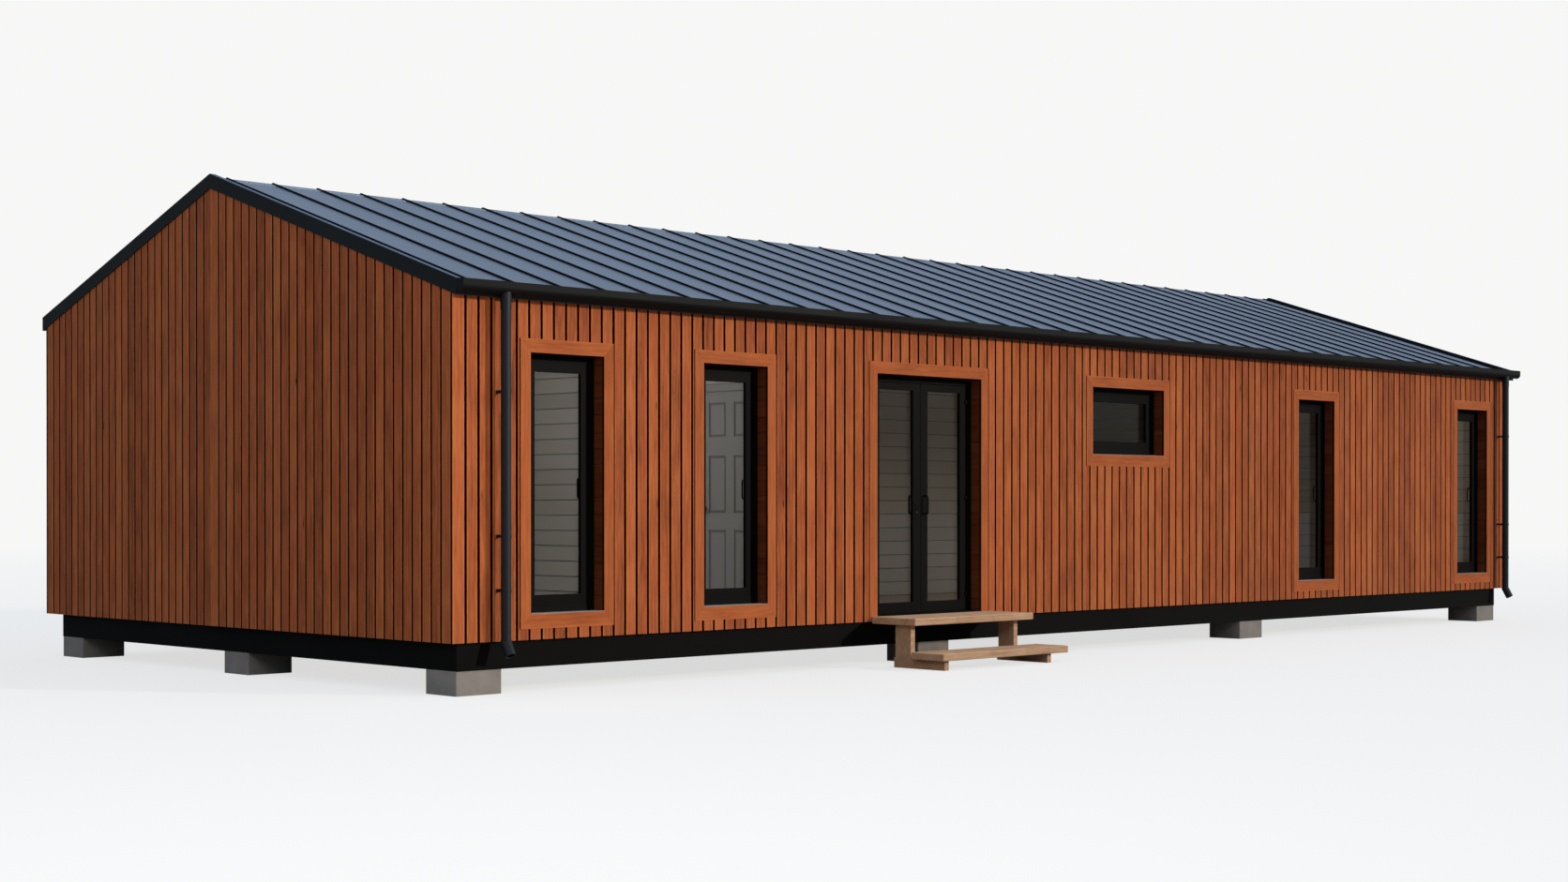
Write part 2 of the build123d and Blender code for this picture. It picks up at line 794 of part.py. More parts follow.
with BuildPart() as inner_door_leaf:
    extrude(
        cross_plate(inner_leaf_front, inner_leaf_back, inner_leaf_bottom, inner_leaf_top, inner_leaf_face),
        amount=inner_leaf_thickness,
    )
    sunk_panels(inner_leaf_face, 1)
    sunk_panels(inner_leaf_face + inner_leaf_thickness, -1)
    for middle in inner_hinge_middles:
        inner_knuckle(middle, inner_leaf_front + hinge_flag, inner_leaf_face)
inner_door_leaf.part.label = "inner_door_leaf"
export_step(inner_door_leaf.part, "parts/inner_door_leaf.step")

with BuildPart() as inner_door_knobs:
    door_knob(inner_leaf_face, -1)
    door_knob(inner_leaf_face + inner_leaf_thickness, 1)
inner_door_knobs.part.label = "inner_door_knobs"
export_step(inner_door_knobs.part, "parts/inner_door_knobs.step")

# Cladding, in one layer over each wall
door_board_left = door_left - surround_side
door_board_right = door_right + surround_side
door_board_top = door_head + surround_top

with BuildPart() as front_cladding_left:
    wall_run(left, door_board_left, front, wall_front, cladding_bottom)
    cut_all_windows(cladding_hole, front, cladding_thickness)
front_cladding_left.part.label = "front_cladding_left"
export_step(front_cladding_left.part, "parts/front_cladding_left.step")

with BuildPart() as front_cladding_over_door:
    wall_run(door_board_left, door_board_right, front, wall_front, door_board_top)
front_cladding_over_door.part.label = "front_cladding_over_door"
export_step(front_cladding_over_door.part, "parts/front_cladding_over_door.step")

with BuildPart() as front_cladding_right:
    wall_run(door_board_right, right, front, wall_front, cladding_bottom)
    cut_all_windows(cladding_hole, front, cladding_thickness)
front_cladding_right.part.label = "front_cladding_right"
export_step(front_cladding_right.part, "parts/front_cladding_right.step")

with BuildPart() as back_cladding:
    wall_run(left, right, wall_back, back, cladding_bottom)
    cut_all_windows(cladding_hole, wall_back, cladding_thickness)
back_cladding.part.label = "back_cladding"
export_step(back_cladding.part, "parts/back_cladding.step")

with BuildPart() as left_gable_cladding:
    extrude(under_roof(wall_front, wall_back, cladding_bottom, left), amount=cladding_thickness)
left_gable_cladding.part.label = "left_gable_cladding"
export_step(left_gable_cladding.part, "parts/left_gable_cladding.step")

with BuildPart() as right_gable_cladding:
    extrude(under_roof(wall_front, wall_back, cladding_bottom, right), amount=-cladding_thickness)
right_gable_cladding.part.label = "right_gable_cladding"
export_step(right_gable_cladding.part, "parts/right_gable_cladding.step")

# Windows, the same along the back as along the front
with BuildPart() as tall_window_surrounds:
    for middle in tall_windows:
        window_surround(middle, tall_sill, tall_window_width, tall_window_height)
    repeat_at_back()
tall_window_surrounds.part.label = "tall_window_surrounds"
export_step(tall_window_surrounds.part, "parts/tall_window_surrounds.step")

with BuildPart() as tall_window_frames:
    for middle in tall_windows:
        window_ring(
            middle, tall_sill, tall_window_width, tall_window_height,
            lining, -frame_face, front + reveal_depth, frame_depth,
        )
    repeat_at_back()
tall_window_frames.part.label = "tall_window_frames"
export_step(tall_window_frames.part, "parts/tall_window_frames.step")

with BuildPart() as tall_window_sashes:
    for middle in tall_windows:
        window_sash(middle, tall_sill, tall_window_width, tall_window_height)
    repeat_at_back()
tall_window_sashes.part.label = "tall_window_sashes"
export_step(tall_window_sashes.part, "parts/tall_window_sashes.step")

with BuildPart() as tall_window_glass:
    for middle in tall_windows:
        window_glass(middle, tall_sill, tall_window_width, tall_window_height)
    repeat_at_back()
tall_window_glass.part.label = "tall_window_glass"
export_step(tall_window_glass.part, "parts/tall_window_glass.step")

with BuildPart() as small_window_surrounds:
    for middle in small_windows:
        window_surround(middle, small_sill, small_window_width, small_window_height)
    repeat_at_back()
small_window_surrounds.part.label = "small_window_surrounds"
export_step(small_window_surrounds.part, "parts/small_window_surrounds.step")

with BuildPart() as small_window_frames:
    for middle in small_windows:
        window_ring(
            middle, small_sill, small_window_width, small_window_height,
            lining, -frame_face, front + reveal_depth, frame_depth,
        )
    repeat_at_back()
small_window_frames.part.label = "small_window_frames"
export_step(small_window_frames.part, "parts/small_window_frames.step")

with BuildPart() as small_window_sashes:
    for middle in small_windows:
        window_sash(middle, small_sill, small_window_width, small_window_height)
    repeat_at_back()
small_window_sashes.part.label = "small_window_sashes"
export_step(small_window_sashes.part, "parts/small_window_sashes.step")

with BuildPart() as small_window_glass:
    for middle in small_windows:
        window_glass(middle, small_sill, small_window_width, small_window_height)
    repeat_at_back()
small_window_glass.part.label = "small_window_glass"
export_step(small_window_glass.part, "parts/small_window_glass.step")

# Double door
with BuildPart() as door_surround:
    extrude(
        plate(door_board_left, door_board_right, cladding_bottom, door_board_top, front),
        amount=-cladding_thickness,
    )
    extrude(
        plate(door_left - lining, door_right + lining, floor_top, door_head + lining, wall_front),
        amount=-(reveal_depth - cladding_thickness),
    )
    extrude(
        plate(door_left, door_right, floor_top, door_head, front),
        amount=-reveal_depth,
        mode=Mode.SUBTRACT,
    )
door_surround.part.label = "door_surround"
export_step(door_surround.part, "parts/door_surround.step")

with BuildPart() as door_frame:
    jamb_left = door_left + frame_face
    jamb_right = door_right - frame_face
    head = door_head - frame_face
    frame_front = front + reveal_depth
    extrude(
        plate(door_left - lining, door_right + lining, floor_top, door_head + lining, frame_front),
        amount=-frame_depth,
    )
    extrude(
        plate(jamb_left, jamb_right, threshold_top, head, frame_front),
        amount=-(frame_depth - stop_thickness),
        mode=Mode.SUBTRACT,
    )
    extrude(
        plate(jamb_left + stop_lip, jamb_right - stop_lip, threshold_top, head - stop_lip, frame_front),
        amount=-frame_depth,
        mode=Mode.SUBTRACT,
    )
    extrude(
        plate(door_left, door_right, floor_top, floor_top + threshold_nose, front),
        amount=-reveal_depth,
    )
    frame_knuckles(left_hinge_edge, 1)
    frame_knuckles(right_hinge_edge, -1)
door_frame.part.label = "door_frame"
export_step(door_frame.part, "parts/door_frame.step")

with BuildPart() as left_door_leaf:
    door_leaf(left_hinge_edge, 1)
left_door_leaf.part.label = "left_door_leaf"
export_step(left_door_leaf.part, "parts/left_door_leaf.step")

with BuildPart() as right_door_leaf:
    door_leaf(right_hinge_edge, -1)
right_door_leaf.part.label = "right_door_leaf"
export_step(right_door_leaf.part, "parts/right_door_leaf.step")

with BuildPart() as left_door_glass:
    door_glass(left_hinge_edge, 1)
left_door_glass.part.label = "left_door_glass"
export_step(left_door_glass.part, "parts/left_door_glass.step")

with BuildPart() as right_door_glass:
    door_glass(right_hinge_edge, -1)
right_door_glass.part.label = "right_door_glass"
export_step(right_door_glass.part, "parts/right_door_glass.step")

with BuildPart() as left_door_handle:
    handle_x = left_hinge_edge + leaf_width - handle_from_edge
    pull_handle(handle_x, front + leaf_front + sash_depth, 1)
left_door_handle.part.label = "left_door_handle"
export_step(left_door_handle.part, "parts/left_door_handle.step")

with BuildPart() as right_door_handles:
    handle_x = right_hinge_edge - leaf_width + handle_from_edge
    pull_handle(handle_x, front + leaf_front, -1)
    pull_handle(handle_x, front + leaf_front + sash_depth, 1)
right_door_handles.part.label = "right_door_handles"
export_step(right_door_handles.part, "parts/right_door_handles.step")

# Roof
front_eave_y = front - eave_overhang
back_eave_y = back + eave_overhang

with BuildPart() as roof_deck_front:
    extrude(roof_band(front_eave_y, ridge_y, 0, deck_thickness, left), amount=length)
roof_deck_front.part.label = "roof_deck_front"
export_step(roof_deck_front.part, "parts/roof_deck_front.step")

with BuildPart() as roof_deck_back:
    extrude(roof_band(ridge_y, back_eave_y, 0, deck_thickness, left), amount=length)
roof_deck_back.part.label = "roof_deck_back"
export_step(roof_deck_back.part, "parts/roof_deck_back.step")

with BuildPart() as roof_sheet_front:
    roof_sheet(front_eave_y - sheet_lap, ridge_y)
roof_sheet_front.part.label = "roof_sheet_front"
export_step(roof_sheet_front.part, "parts/roof_sheet_front.step")

with BuildPart() as roof_sheet_back:
    roof_sheet(back_eave_y + sheet_lap, ridge_y)
roof_sheet_back.part.label = "roof_sheet_back"
export_step(roof_sheet_back.part, "parts/roof_sheet_back.step")

with BuildPart() as ridge_flashing:
    low = deck_thickness + sheet_thickness
    side_gap = seam_head / 2 + ridge_flashing_gap
    edges = [left + verge_cap] + seams + [right - verge_cap]
    for start, end in zip(edges[:-1], edges[1:]):
        x0 = start + (side_gap if start in seams else 0)
        x1 = end - (side_gap if end in seams else 0)
        for y0, y1 in ((ridge_y - ridge_flashing_leg, ridge_y), (ridge_y, ridge_y + ridge_flashing_leg)):
            extrude(roof_band(y0, y1, low, low + ridge_flashing_thickness, x0), amount=x1 - x0)
ridge_flashing.part.label = "ridge_flashing"
export_step(ridge_flashing.part, "parts/ridge_flashing.step")

with BuildPart() as left_verge_trim:
    verge_trim(left, 1)
left_verge_trim.part.label = "left_verge_trim"
export_step(left_verge_trim.part, "parts/left_verge_trim.step")

with BuildPart() as right_verge_trim:
    verge_trim(right, -1)
right_verge_trim.part.label = "right_verge_trim"
export_step(right_verge_trim.part, "parts/right_verge_trim.step")

# Rainwater goods
with BuildPart() as front_gutter:
    gutter(front_eave_y, -1, length + 2 * verge_proud)
front_gutter.part.label = "front_gutter"
export_step(front_gutter.part, "parts/front_gutter.step")

with BuildPart() as back_gutter:
    gutter(back_eave_y, 1, length - 2 * back_gutter_setback)
back_gutter.part.label = "back_gutter"
export_step(back_gutter.part, "parts/back_gutter.step")

pipe_places = [left + left_pipe, right - right_pipe_from_right]

with BuildPart() as front_downpipes:
    for x in pipe_places:
        downpipe(x, front, -1)
front_downpipes.part.label = "front_downpipes"
export_step(front_downpipes.part, "parts/front_downpipes.step")

with BuildPart() as back_downpipes:
    for x in pipe_places:
        downpipe(x, back, 1)
back_downpipes.part.label = "back_downpipes"
export_step(back_downpipes.part, "parts/back_downpipes.step")

# Steps
upper_tread_top = cladding_bottom + upper_tread_rise
lower_tread_top = upper_tread_top - lower_tread_drop
tread_left = left + door_middle + step_shift - upper_tread_length / 2
tread_right = tread_left + upper_tread_length

with BuildPart() as upper_tread:
    with BuildSketch(Plane.XY.offset(upper_tread_top)):
        with Locations((tread_left + upper_tread_length / 2, front - upper_tread_depth / 2)):
            Rectangle(upper_tread_length, upper_tread_depth)
    extrude(amount=-tread_thickness)
    chamfer(upper_tread.edges(), length=tread_edge)
upper_tread.part.label = "upper_tread"
export_step(upper_tread.part, "parts/upper_tread.step")

with BuildPart() as lower_tread:
    with BuildSketch(Plane.XY.offset(lower_tread_top)):
        middle = (tread_left + lower_tread_length / 2, front - lower_tread_back - lower_tread_depth / 2)
        with Locations(middle):
            Rectangle(lower_tread_length, lower_tread_depth)
    extrude(amount=-tread_thickness)
    chamfer(lower_tread.edges(), length=tread_edge)
lower_tread.part.label = "lower_tread"
export_step(lower_tread.part, "parts/lower_tread.step")

with BuildPart() as step_supports:
    runner_front = front - step_reach + runner_setback
    runner_top = lower_tread_top - tread_thickness
    post_front = front - upper_tread_depth + post_setback
    post_top = upper_tread_top - tread_thickness
    outline = [
        (runner_front, 0),
        (front - runner_tail, 0),
        (front - runner_tail, runner_top),
        (post_front + post_depth, runner_top),
        (post_front + post_depth, post_top),
        (post_front, post_top),
        (post_front, runner_top),
        (runner_front, runner_top),
    ]
    for x in (tread_left + support_inset, tread_right - support_inset - support_thickness):
        with BuildSketch(cross_section(x)):
            with BuildLine():
                Polyline(*outline, close=True)
            make_face()
        extrude(amount=support_thickness)
step_supports.part.label = "step_supports"
export_step(step_supports.part, "parts/step_supports.step")
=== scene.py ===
import bpy
import math
import numpy as np
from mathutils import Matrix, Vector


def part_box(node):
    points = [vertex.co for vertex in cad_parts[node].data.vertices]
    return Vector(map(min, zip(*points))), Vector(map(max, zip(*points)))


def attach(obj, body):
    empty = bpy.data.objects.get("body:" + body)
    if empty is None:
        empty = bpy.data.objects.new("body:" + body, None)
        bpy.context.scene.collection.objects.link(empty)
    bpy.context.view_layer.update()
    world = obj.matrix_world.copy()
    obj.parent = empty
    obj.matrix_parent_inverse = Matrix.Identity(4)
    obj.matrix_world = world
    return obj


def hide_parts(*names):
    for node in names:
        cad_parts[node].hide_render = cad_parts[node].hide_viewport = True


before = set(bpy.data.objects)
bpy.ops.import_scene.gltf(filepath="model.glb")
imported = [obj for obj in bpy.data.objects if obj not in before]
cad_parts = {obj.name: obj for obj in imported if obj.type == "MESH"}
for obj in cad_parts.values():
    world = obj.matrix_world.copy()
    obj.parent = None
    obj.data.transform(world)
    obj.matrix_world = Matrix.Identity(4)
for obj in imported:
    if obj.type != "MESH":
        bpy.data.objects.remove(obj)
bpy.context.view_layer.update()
chance = np.random.default_rng(11)

# Battens and boards, in metres
batten_pitch = 0.1245
gable_pitch = 0.1275
batten_gap = 0.024
batten_thickness = 0.028
batten_rounding = 0.003
batten_bow = 0.0012
batten_stagger = 0.0012
surround_slot = 0.012
narrowest_strip = 0.008
mitre_gap = 0.0007
flush_rounding = 0.0003
flush_edges = (flush_rounding, flush_rounding)
lath_height = 0.045
lath_spacing = 0.6
reveal_lining = 0.012
reveal_board_heights = (0.12, 0.15)
reveal_joint = 0.005
reveal_backing = 0.003
reveal_rounding = 0.0015
lining_board = 0.155
lining_joint = 0.010
lining_thickness = 0.012
board_stations = 7
edge_shoulder = 0.004
edge_border = 0.016
grain_reach = 40
sharp_from_angle = 40
line_error = 1e-6

# Window sills and handles
sill_thickness = 0.002
sill_nose = 0.006
sash_stile = 0.080
sash_thickness = 0.055
frame_width = 0.062
handle_length = 0.165
handle_above_sill = 0.923
handle_stand_off = 0.045
handle_bar = 0.007
handle_turn = 0.018

# Walls, floor and doors
wall_depth = 0.2
wall_margin = 0.003
floor_board = 0.19
inner_leaf_thickness = 0.040
groove_depth = 0.010
leaf_setback = 0.134
lock_from_edge = 0.055
keyhole_height = 1.006
keyhole_radius = 0.009
keyhole_depth = 0.004
plate_length = 0.15
plate_width = 0.026
plate_thickness = 0.004
plate_rounding = 0.002

# Roof
deck_thickness = 0.092
seam_margin = 0.165
seam_count = 36
seam_half_width = 0.008
seam_shade = 0.020
screw_radius = 0.006
screw_height = 0.003
screw_spacing = 0.6
first_screw = 0.05
dome_turn = 0.46 * np.pi

# Camera and light
camera_place = (-18.497, -17.006, 1.4835)
camera_pitch = 89.756
camera_yaw = -44.399
camera_lens = 50.706
camera_shift = 0.0473
sun_from_right = 33.0
sun_height = 17.0
sun_width = 3.0
sun_strength = 1.95
sun_colour = (1.0, 0.93, 0.84)
warm_room_light = (1.0, 0.97, 0.90)
pale = (0.93, 0.93, 0.925, 1.0)
floor_tone = (0.27, 0.265, 0.255, 1)
floor_bounce = (0.34, 0.33, 0.31, 1)
floor_glow = 0.74
floor_rings = (12.0, 30.0, 70.0, 400.0)
floor_fade = (14.0, 60.0)
sky_stops = (
    (0.0, (0.14, 0.135, 0.12, 1)),
    (0.08, (0.28, 0.29, 0.29, 1)),
    (0.18, (0.50, 0.61, 0.78, 1)),
    (1.0, (0.42, 0.50, 0.62, 1)),
)


def rgb(red, green, blue):
    """A surface colour given as the 0 to 255 values of a screen, turned to linear light."""
    share = np.array([red, green, blue]) / 255
    linear = np.where(share <= 0.04045, share / 12.92, ((share + 0.055) / 1.055) ** 2.4)
    return (*linear.tolist(), 1.0)


# The CAD pieces that the looks are built on

def solid_boxes(name):
    """Lowest and highest corner of each separate solid of a CAD node.

    Points that lie together get one number. Every triangle then gives its lowest label to its
    corners, again and again, until each solid carries one label.
    """
    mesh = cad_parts[name].data
    mesh.calc_loop_triangles()
    points = np.empty(len(mesh.vertices) * 3, np.float32)
    mesh.vertices.foreach_get("co", points)
    corners = np.empty(len(mesh.loop_triangles) * 3, np.int32)
    mesh.loop_triangles.foreach_get("vertices", corners)
    points = points.reshape(-1, 3).round(4)
    places, number = np.unique(points, axis=0, return_inverse=True)
    triangles = number.ravel()[corners].reshape(-1, 3)
    label = np.arange(len(places))
    settled = False
    while not settled:
        lowest = np.repeat(label[triangles].min(1), 3)
        lowered = label.copy()
        np.minimum.at(lowered, triangles.ravel(), lowest)
        lowered = lowered[lowered]
        settled = (lowered == label).all()
        label = lowered
    groups = [places[label == value] for value in np.unique(label)]
    return [(group.min(0), group.max(0)) for group in groups]


def opening(low, high, frame_low, frame_high, foot):
    """One opening, from the corners of its surround and frame and the height of its foot.

    The outer edge is the surround's, and the inner one is the frame's less the reveal's lining.
    """
    side = 1 if low[1] > 0 else -1
    head = frame_high[2] - reveal_lining
    return {
        "side": side,
        "face": front_y if side < 0 else back_y,
        "outer": (low[0], high[0], low[2], high[2]),
        "inner": (frame_low[0] + reveal_lining, frame_high[0] - reveal_lining, foot, head),
        "depth": high[1] - low[1],
    }


def window_openings(kind):
    """The openings of one kind of window, front ones first, each row from left to right."""
    surrounds, frames = (
        sorted(solid_boxes(kind + part), key=lambda box: (box[0][1] > 0, box[0][0]))
        for part in ("_surrounds", "_frames")
    )
    return [
        opening(*surround, *rim, rim[0][2] + reveal_lining) for surround, rim in zip(surrounds, frames)
    ]


front_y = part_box("front_cladding_left")[0].y
back_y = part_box("back_cladding")[1].y
left_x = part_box("front_cladding_left")[0].x
right_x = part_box("front_cladding_right")[1].x
cladding_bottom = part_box("front_cladding_left")[0].z
cladding_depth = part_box("front_wall_left")[0].y - front_y
floor_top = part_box("floor_deck")[1].z
front_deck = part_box("roof_deck_front")
back_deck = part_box("roof_deck_back")
ridge_y = front_deck[1].y
ridge_z = front_deck[1].z - deck_thickness

# How far each slope of the roof runs for a metre of rise
front_slant = (ridge_y - front_deck[0].y) / (ridge_z - front_deck[0].z)
back_slant = (back_deck[1].y - ridge_y) / (ridge_z - back_deck[0].z)


def underside(y):
    """Height of the roof's underside: a straight line up each slope from its eave to the ridge."""
    front = front_deck[0].z + (y - front_deck[0].y) / front_slant
    back = back_deck[0].z + (back_deck[1].y - y) / back_slant
    return np.where(np.asarray(y) <= ridge_y, front, back)


tall_windows = window_openings("tall_window")
small_windows = window_openings("small_window")
windows = tall_windows + small_windows
door = opening(*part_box("door_surround"), *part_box("door_frame"), floor_top)


# Shapes as whole arrays

def outward(points, quads, caps):
    """The same faces, turned round if the solid's signed volume is negative."""
    triangles = [quads[:, [0, 1, 2]], quads[:, [0, 2, 3]]]
    for cap in caps:
        triangles.append(np.stack([np.full(len(cap) - 2, cap[0]), cap[1:-1], cap[2:]], 1))
    a, b, c = np.moveaxis(points[np.concatenate(triangles)], 1, 0)
    if np.einsum("ij,ij->i", a, np.cross(b, c)).sum() < 0:
        quads = quads[:, ::-1]
        caps = [cap[::-1] for cap in caps]
    return quads, caps


def carried(grid):
    """Quads between neighbouring points of stations x outline, the outline closed, with flat ends."""
    stations, around = grid.shape[:2]
    number = np.arange(stations * around).reshape(stations, around)
    following = np.roll(number, -1, 1)
    quads = np.stack([number[:-1], following[:-1], following[1:], number[1:]], -1).reshape(-1, 4)
    points = grid.reshape(-1, 3)
    quads, caps = outward(points, quads, [number[0], number[-1][::-1]])
    return {"points": points, "quads": quads, "caps": caps}


def board_section(width, thickness, left, right):
    """Outline of a board's section: distance across, depth behind the face, nearness to an edge.

    It runs from the back left corner up the side, round the face's left edge by a quarter bend,
    over the face, and back down on the right.
    """
    left = min(left, width / 5)
    right = min(right, width / 5)
    shoulder = min(edge_shoulder, width / 6)
    border = min(edge_border, width / 3)
    across = [0, 0, 0, 0.3 * left, left, left + shoulder, left + border]
    across += [width - right - border, width - right - shoulder, width - right, width - 0.3 * right]
    across += [width, width, width]
    depth = [thickness, left + shoulder, left, 0.3 * left, 0, 0, 0, 0, 0, 0, 0.3 * right, right]
    depth += [right + shoulder, thickness]
    edge = [0, 0, 0.6, 1, 0.75, 0.4, 0, 0, 0.4, 0.75, 1, 0.6, 0, 0]
    return np.array(across), np.array(depth), np.array(edge)


def board(
    corner, across, outwards, along, width, thickness, ends,
    slopes=(0.0, 0.0), rounding=(batten_rounding, batten_rounding), stations=2, bow=0.0, stagger=0.0,
):
    """One board: its section carried along its length.

    A point is the corner, plus its distance across, less its depth, plus its distance along. That
    distance runs evenly between the two ends, each shifted in proportion to the distance across
    where the end is mitred or follows the roof. The face bows out by a half sine over the length.
    """
    over, deep, edge = board_section(width, thickness, *rounding)
    share = np.linspace(0, 1, stations)[:, None]
    first = ends[0] + slopes[0] * over
    last = ends[1] + slopes[1] * over
    reach = first + share * (last - first)
    lift = stagger + bow * np.sin(np.pi * share) - deep
    grid = (
        np.asarray(corner)
        + over[None, :, None] * np.asarray(across)
        + lift[:, :, None] * np.asarray(outwards)
        + reach[:, :, None] * np.asarray(along)
    )
    made = carried(grid)
    shift = chance.uniform(0, grain_reach, 3)
    over, deep, edge = (np.broadcast_to(value, reach.shape) for value in (over, deep, edge))
    made["grain"] = (np.stack([over, deep, reach], -1) + shift).reshape(-1, 3)
    made["depth"] = deep.ravel()
    made["tone"] = np.full(reach.size, chance.uniform(0, 1))
    made["edge"] = edge.ravel()
    return made


def rounded_path(corners, radius, steps=6):
    """A line through square corners, each rounded by a quarter circle.

    The circle's middle is a radius from the corner along both straights. Each point is that middle
    less a radius times the angle's cosine along the second straight and its sine along the first.
    """
    corners = np.asarray(corners, float)
    angle = np.linspace(0, np.pi / 2, steps)[:, None]
    path = [corners[:1]]
    for before, at, after in zip(corners[:-2], corners[1:-1], corners[2:]):
        towards = (before - at) / np.linalg.norm(before - at)
        away = (after - at) / np.linalg.norm(after - at)
        centre = at + radius * (towards + away)
        path.append(centre - radius * (np.cos(angle) * away + np.sin(angle) * towards))
    path.append(corners[-1:])
    return np.concatenate(path)


def bar(path, radius, normal, sides=12):
    """A round bar on a flat path: each ring is a circle in the plane of the path's normal and the
    direction square to both that normal and the path."""
    steps = np.gradient(path, axis=0)
    steps /= np.linalg.norm(steps, axis=1)[:, None]
    normal = np.asarray(normal, float)
    square = np.cross(steps, normal)
    angle = np.linspace(0, 2 * np.pi, sides, endpoint=False)[None, :, None]
    grid = path[:, None] + radius * (np.cos(angle) * normal + np.sin(angle) * square[:, None])
    return carried(grid)


def button(centre, axis, across, radius, height, sides=14):
    """A low domed button: rings whose radius falls and height rises by nearly a quarter circle."""
    turn = np.linspace(0, dome_turn, 5)
    rings = np.concatenate([[1.0], np.cos(turn)])
    heights = np.concatenate([[-1.0], np.sin(turn)])
    axis, across = np.asarray(axis, float), np.asarray(across, float)
    square = np.cross(axis, across)
    angle = np.linspace(0, 2 * np.pi, sides, endpoint=False)[None, :, None]
    grid = (
        np.asarray(centre)
        + radius * rings[:, None, None] * (np.cos(angle) * across + np.sin(angle) * square)
        + height * heights[:, None, None] * axis
    )
    return carried(grid)


def put(name, data, place=(0, 0, 0), turn=(0, 0, 0)):
    """A new object in the scene, at its place and turned by these degrees."""
    made = bpy.data.objects.new(name, data)
    made.location = place
    made.rotation_euler = [math.radians(angle) for angle in turn]
    bpy.context.scene.collection.objects.link(made)
    return made


def make_piece(name, solids, material, body="house", stands_for=(), smooth=False):
    """One named mesh from many solids, with the values that its boards carry."""
    starts = np.cumsum([0] + [len(solid["points"]) for solid in solids])
    faces = []
    for start, solid in zip(starts, solids):
        faces += (solid["quads"] + start).tolist()
        faces += [(cap + start).tolist() for cap in solid["caps"]]
    mesh = bpy.data.meshes.new(name)
    mesh.from_pydata(np.concatenate([solid["points"] for solid in solids]), [], faces)
    if "grain" in solids[0]:
        grain = mesh.attributes.new("grain", "FLOAT_VECTOR", "POINT")
        grain.data.foreach_set("vector", np.concatenate([solid["grain"] for solid in solids]).ravel())
        for value in ("tone", "edge", "depth"):
            layer = mesh.attributes.new(value, "FLOAT", "POINT")
            layer.data.foreach_set("value", np.concatenate([solid[value] for solid in solids]))
    if smooth:
        mesh.shade_smooth()
        mesh.set_sharp_from_angle(angle=math.radians(sharp_from_angle))
    mesh.materials.append(material)
    piece = put(name, mesh)
    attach(piece, body)
    if stands_for:
        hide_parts(*stands_for)


# Shader parts

def add(tree, kind, inputs=None, **settings):
    """A shader node, with its settings and its inputs, each a plain value or a node's output."""
    made = tree.nodes.new("ShaderNode" + kind)
    for name, value in settings.items():
        setattr(made, name, value)
    for name, value in (inputs or {}).items():
        socket = made.inputs[name]
        if isinstance(value, bpy.types.NodeSocket):
            tree.links.new(value, socket)
        else:
            socket.default_value = value
    return made


def join(value, node, name):
    """A node's output led to an input of another node."""
    value.id_data.links.new(value, node.inputs[name])


def noise(vector, scale, detail=3.0, roughness=0.5, distortion=0.0):
    """Soft random pattern between 0 and 1."""
    inputs = {"Vector": vector, "Scale": scale, "Detail": detail}
    inputs |= {"Roughness": roughness, "Distortion": distortion}
    return add(vector.id_data, "TexNoise", inputs).outputs["Fac"]


def cells(vector, scale):
    """Random cells: the distance from the nearest middle, and a number between 0 and 1 for each."""
    made = add(vector.id_data, "TexVoronoi", {"Vector": vector, "Scale": scale}).outputs
    number = add(vector.id_data, "SeparateColor", {"Color": made["Color"]}).outputs[0]
    return made["Distance"], number


def stretched(vector, scale):
    """The vector with each direction multiplied by its own number."""
    made = add(vector.id_data, "VectorMath", {0: vector, 1: scale}, operation="MULTIPLY")
    return made.outputs[0]


def axes(vector):
    """The three parts of a vector."""
    return add(vector.id_data, "SeparateXYZ", {"Vector": vector}).outputs


def spread(value, low, high, to_low=0.0, to_high=1.0):
    """The value from low to high, spread over another range and kept inside it."""
    inputs = {"Value": value, "From Min": low, "From Max": high, "To Min": to_low, "To Max": to_high}
    return add(value.id_data, "MapRange", inputs, clamp=True).outputs["Result"]


def sums(kind, first, second=0.0):
    """One arithmetic step on one or two values, at least one of them a node's output."""
    tree = (first if isinstance(first, bpy.types.NodeSocket) else second).id_data
    return add(tree, "Math", {0: first, 1: second}, operation=kind).outputs[0]


def times(first, second):
    """Two values multiplied."""
    return sums("MULTIPLY", first, second)


def plus(first, second):
    """Two values added."""
    return sums("ADD", first, second)


def blend(share, first, second):
    """Two colours mixed by a share."""
    inputs = {0: share, 6: first, 7: second}
    return add(share.id_data, "Mix", inputs, data_type="RGBA").outputs[2]


def mixed_shaders(share, first, second):
    """Two shaders mixed by a share."""
    return add(share.id_data, "MixShader", {0: share, 1: first, 2: second}).outputs[0]


def scaled(colour, factor, lift=0.0):
    """A colour made lighter or darker by a factor and a lift, and kept below full white."""
    return (*(min(1.0, factor * value + lift) for value in colour[:3]), 1.0)


def object_place(tree):
    """Places in the object's own frame."""
    return add(tree, "TexCoord").outputs["Object"]


def looking_up(tree):
    """How far a face looks up: the upward part of its normal."""
    return axes(add(tree, "NewGeometry").outputs["Normal"])[2]


def node_group(name, inputs, outputs):
    """An empty group with its inputs and its outputs, each output a number."""
    tree = bpy.data.node_groups.new(name, "ShaderNodeTree")
    for socket, kind, value in inputs:
        made = tree.interface.new_socket(socket, in_out="INPUT", socket_type="NodeSocket" + kind)
        if value is not None:
            made.default_value = value
    for socket in outputs:
        tree.interface.new_socket(socket, in_out="OUTPUT", socket_type="NodeSocketFloat")
    return tree, tree.nodes.new("NodeGroupInput").outputs, tree.nodes.new("NodeGroupOutput")


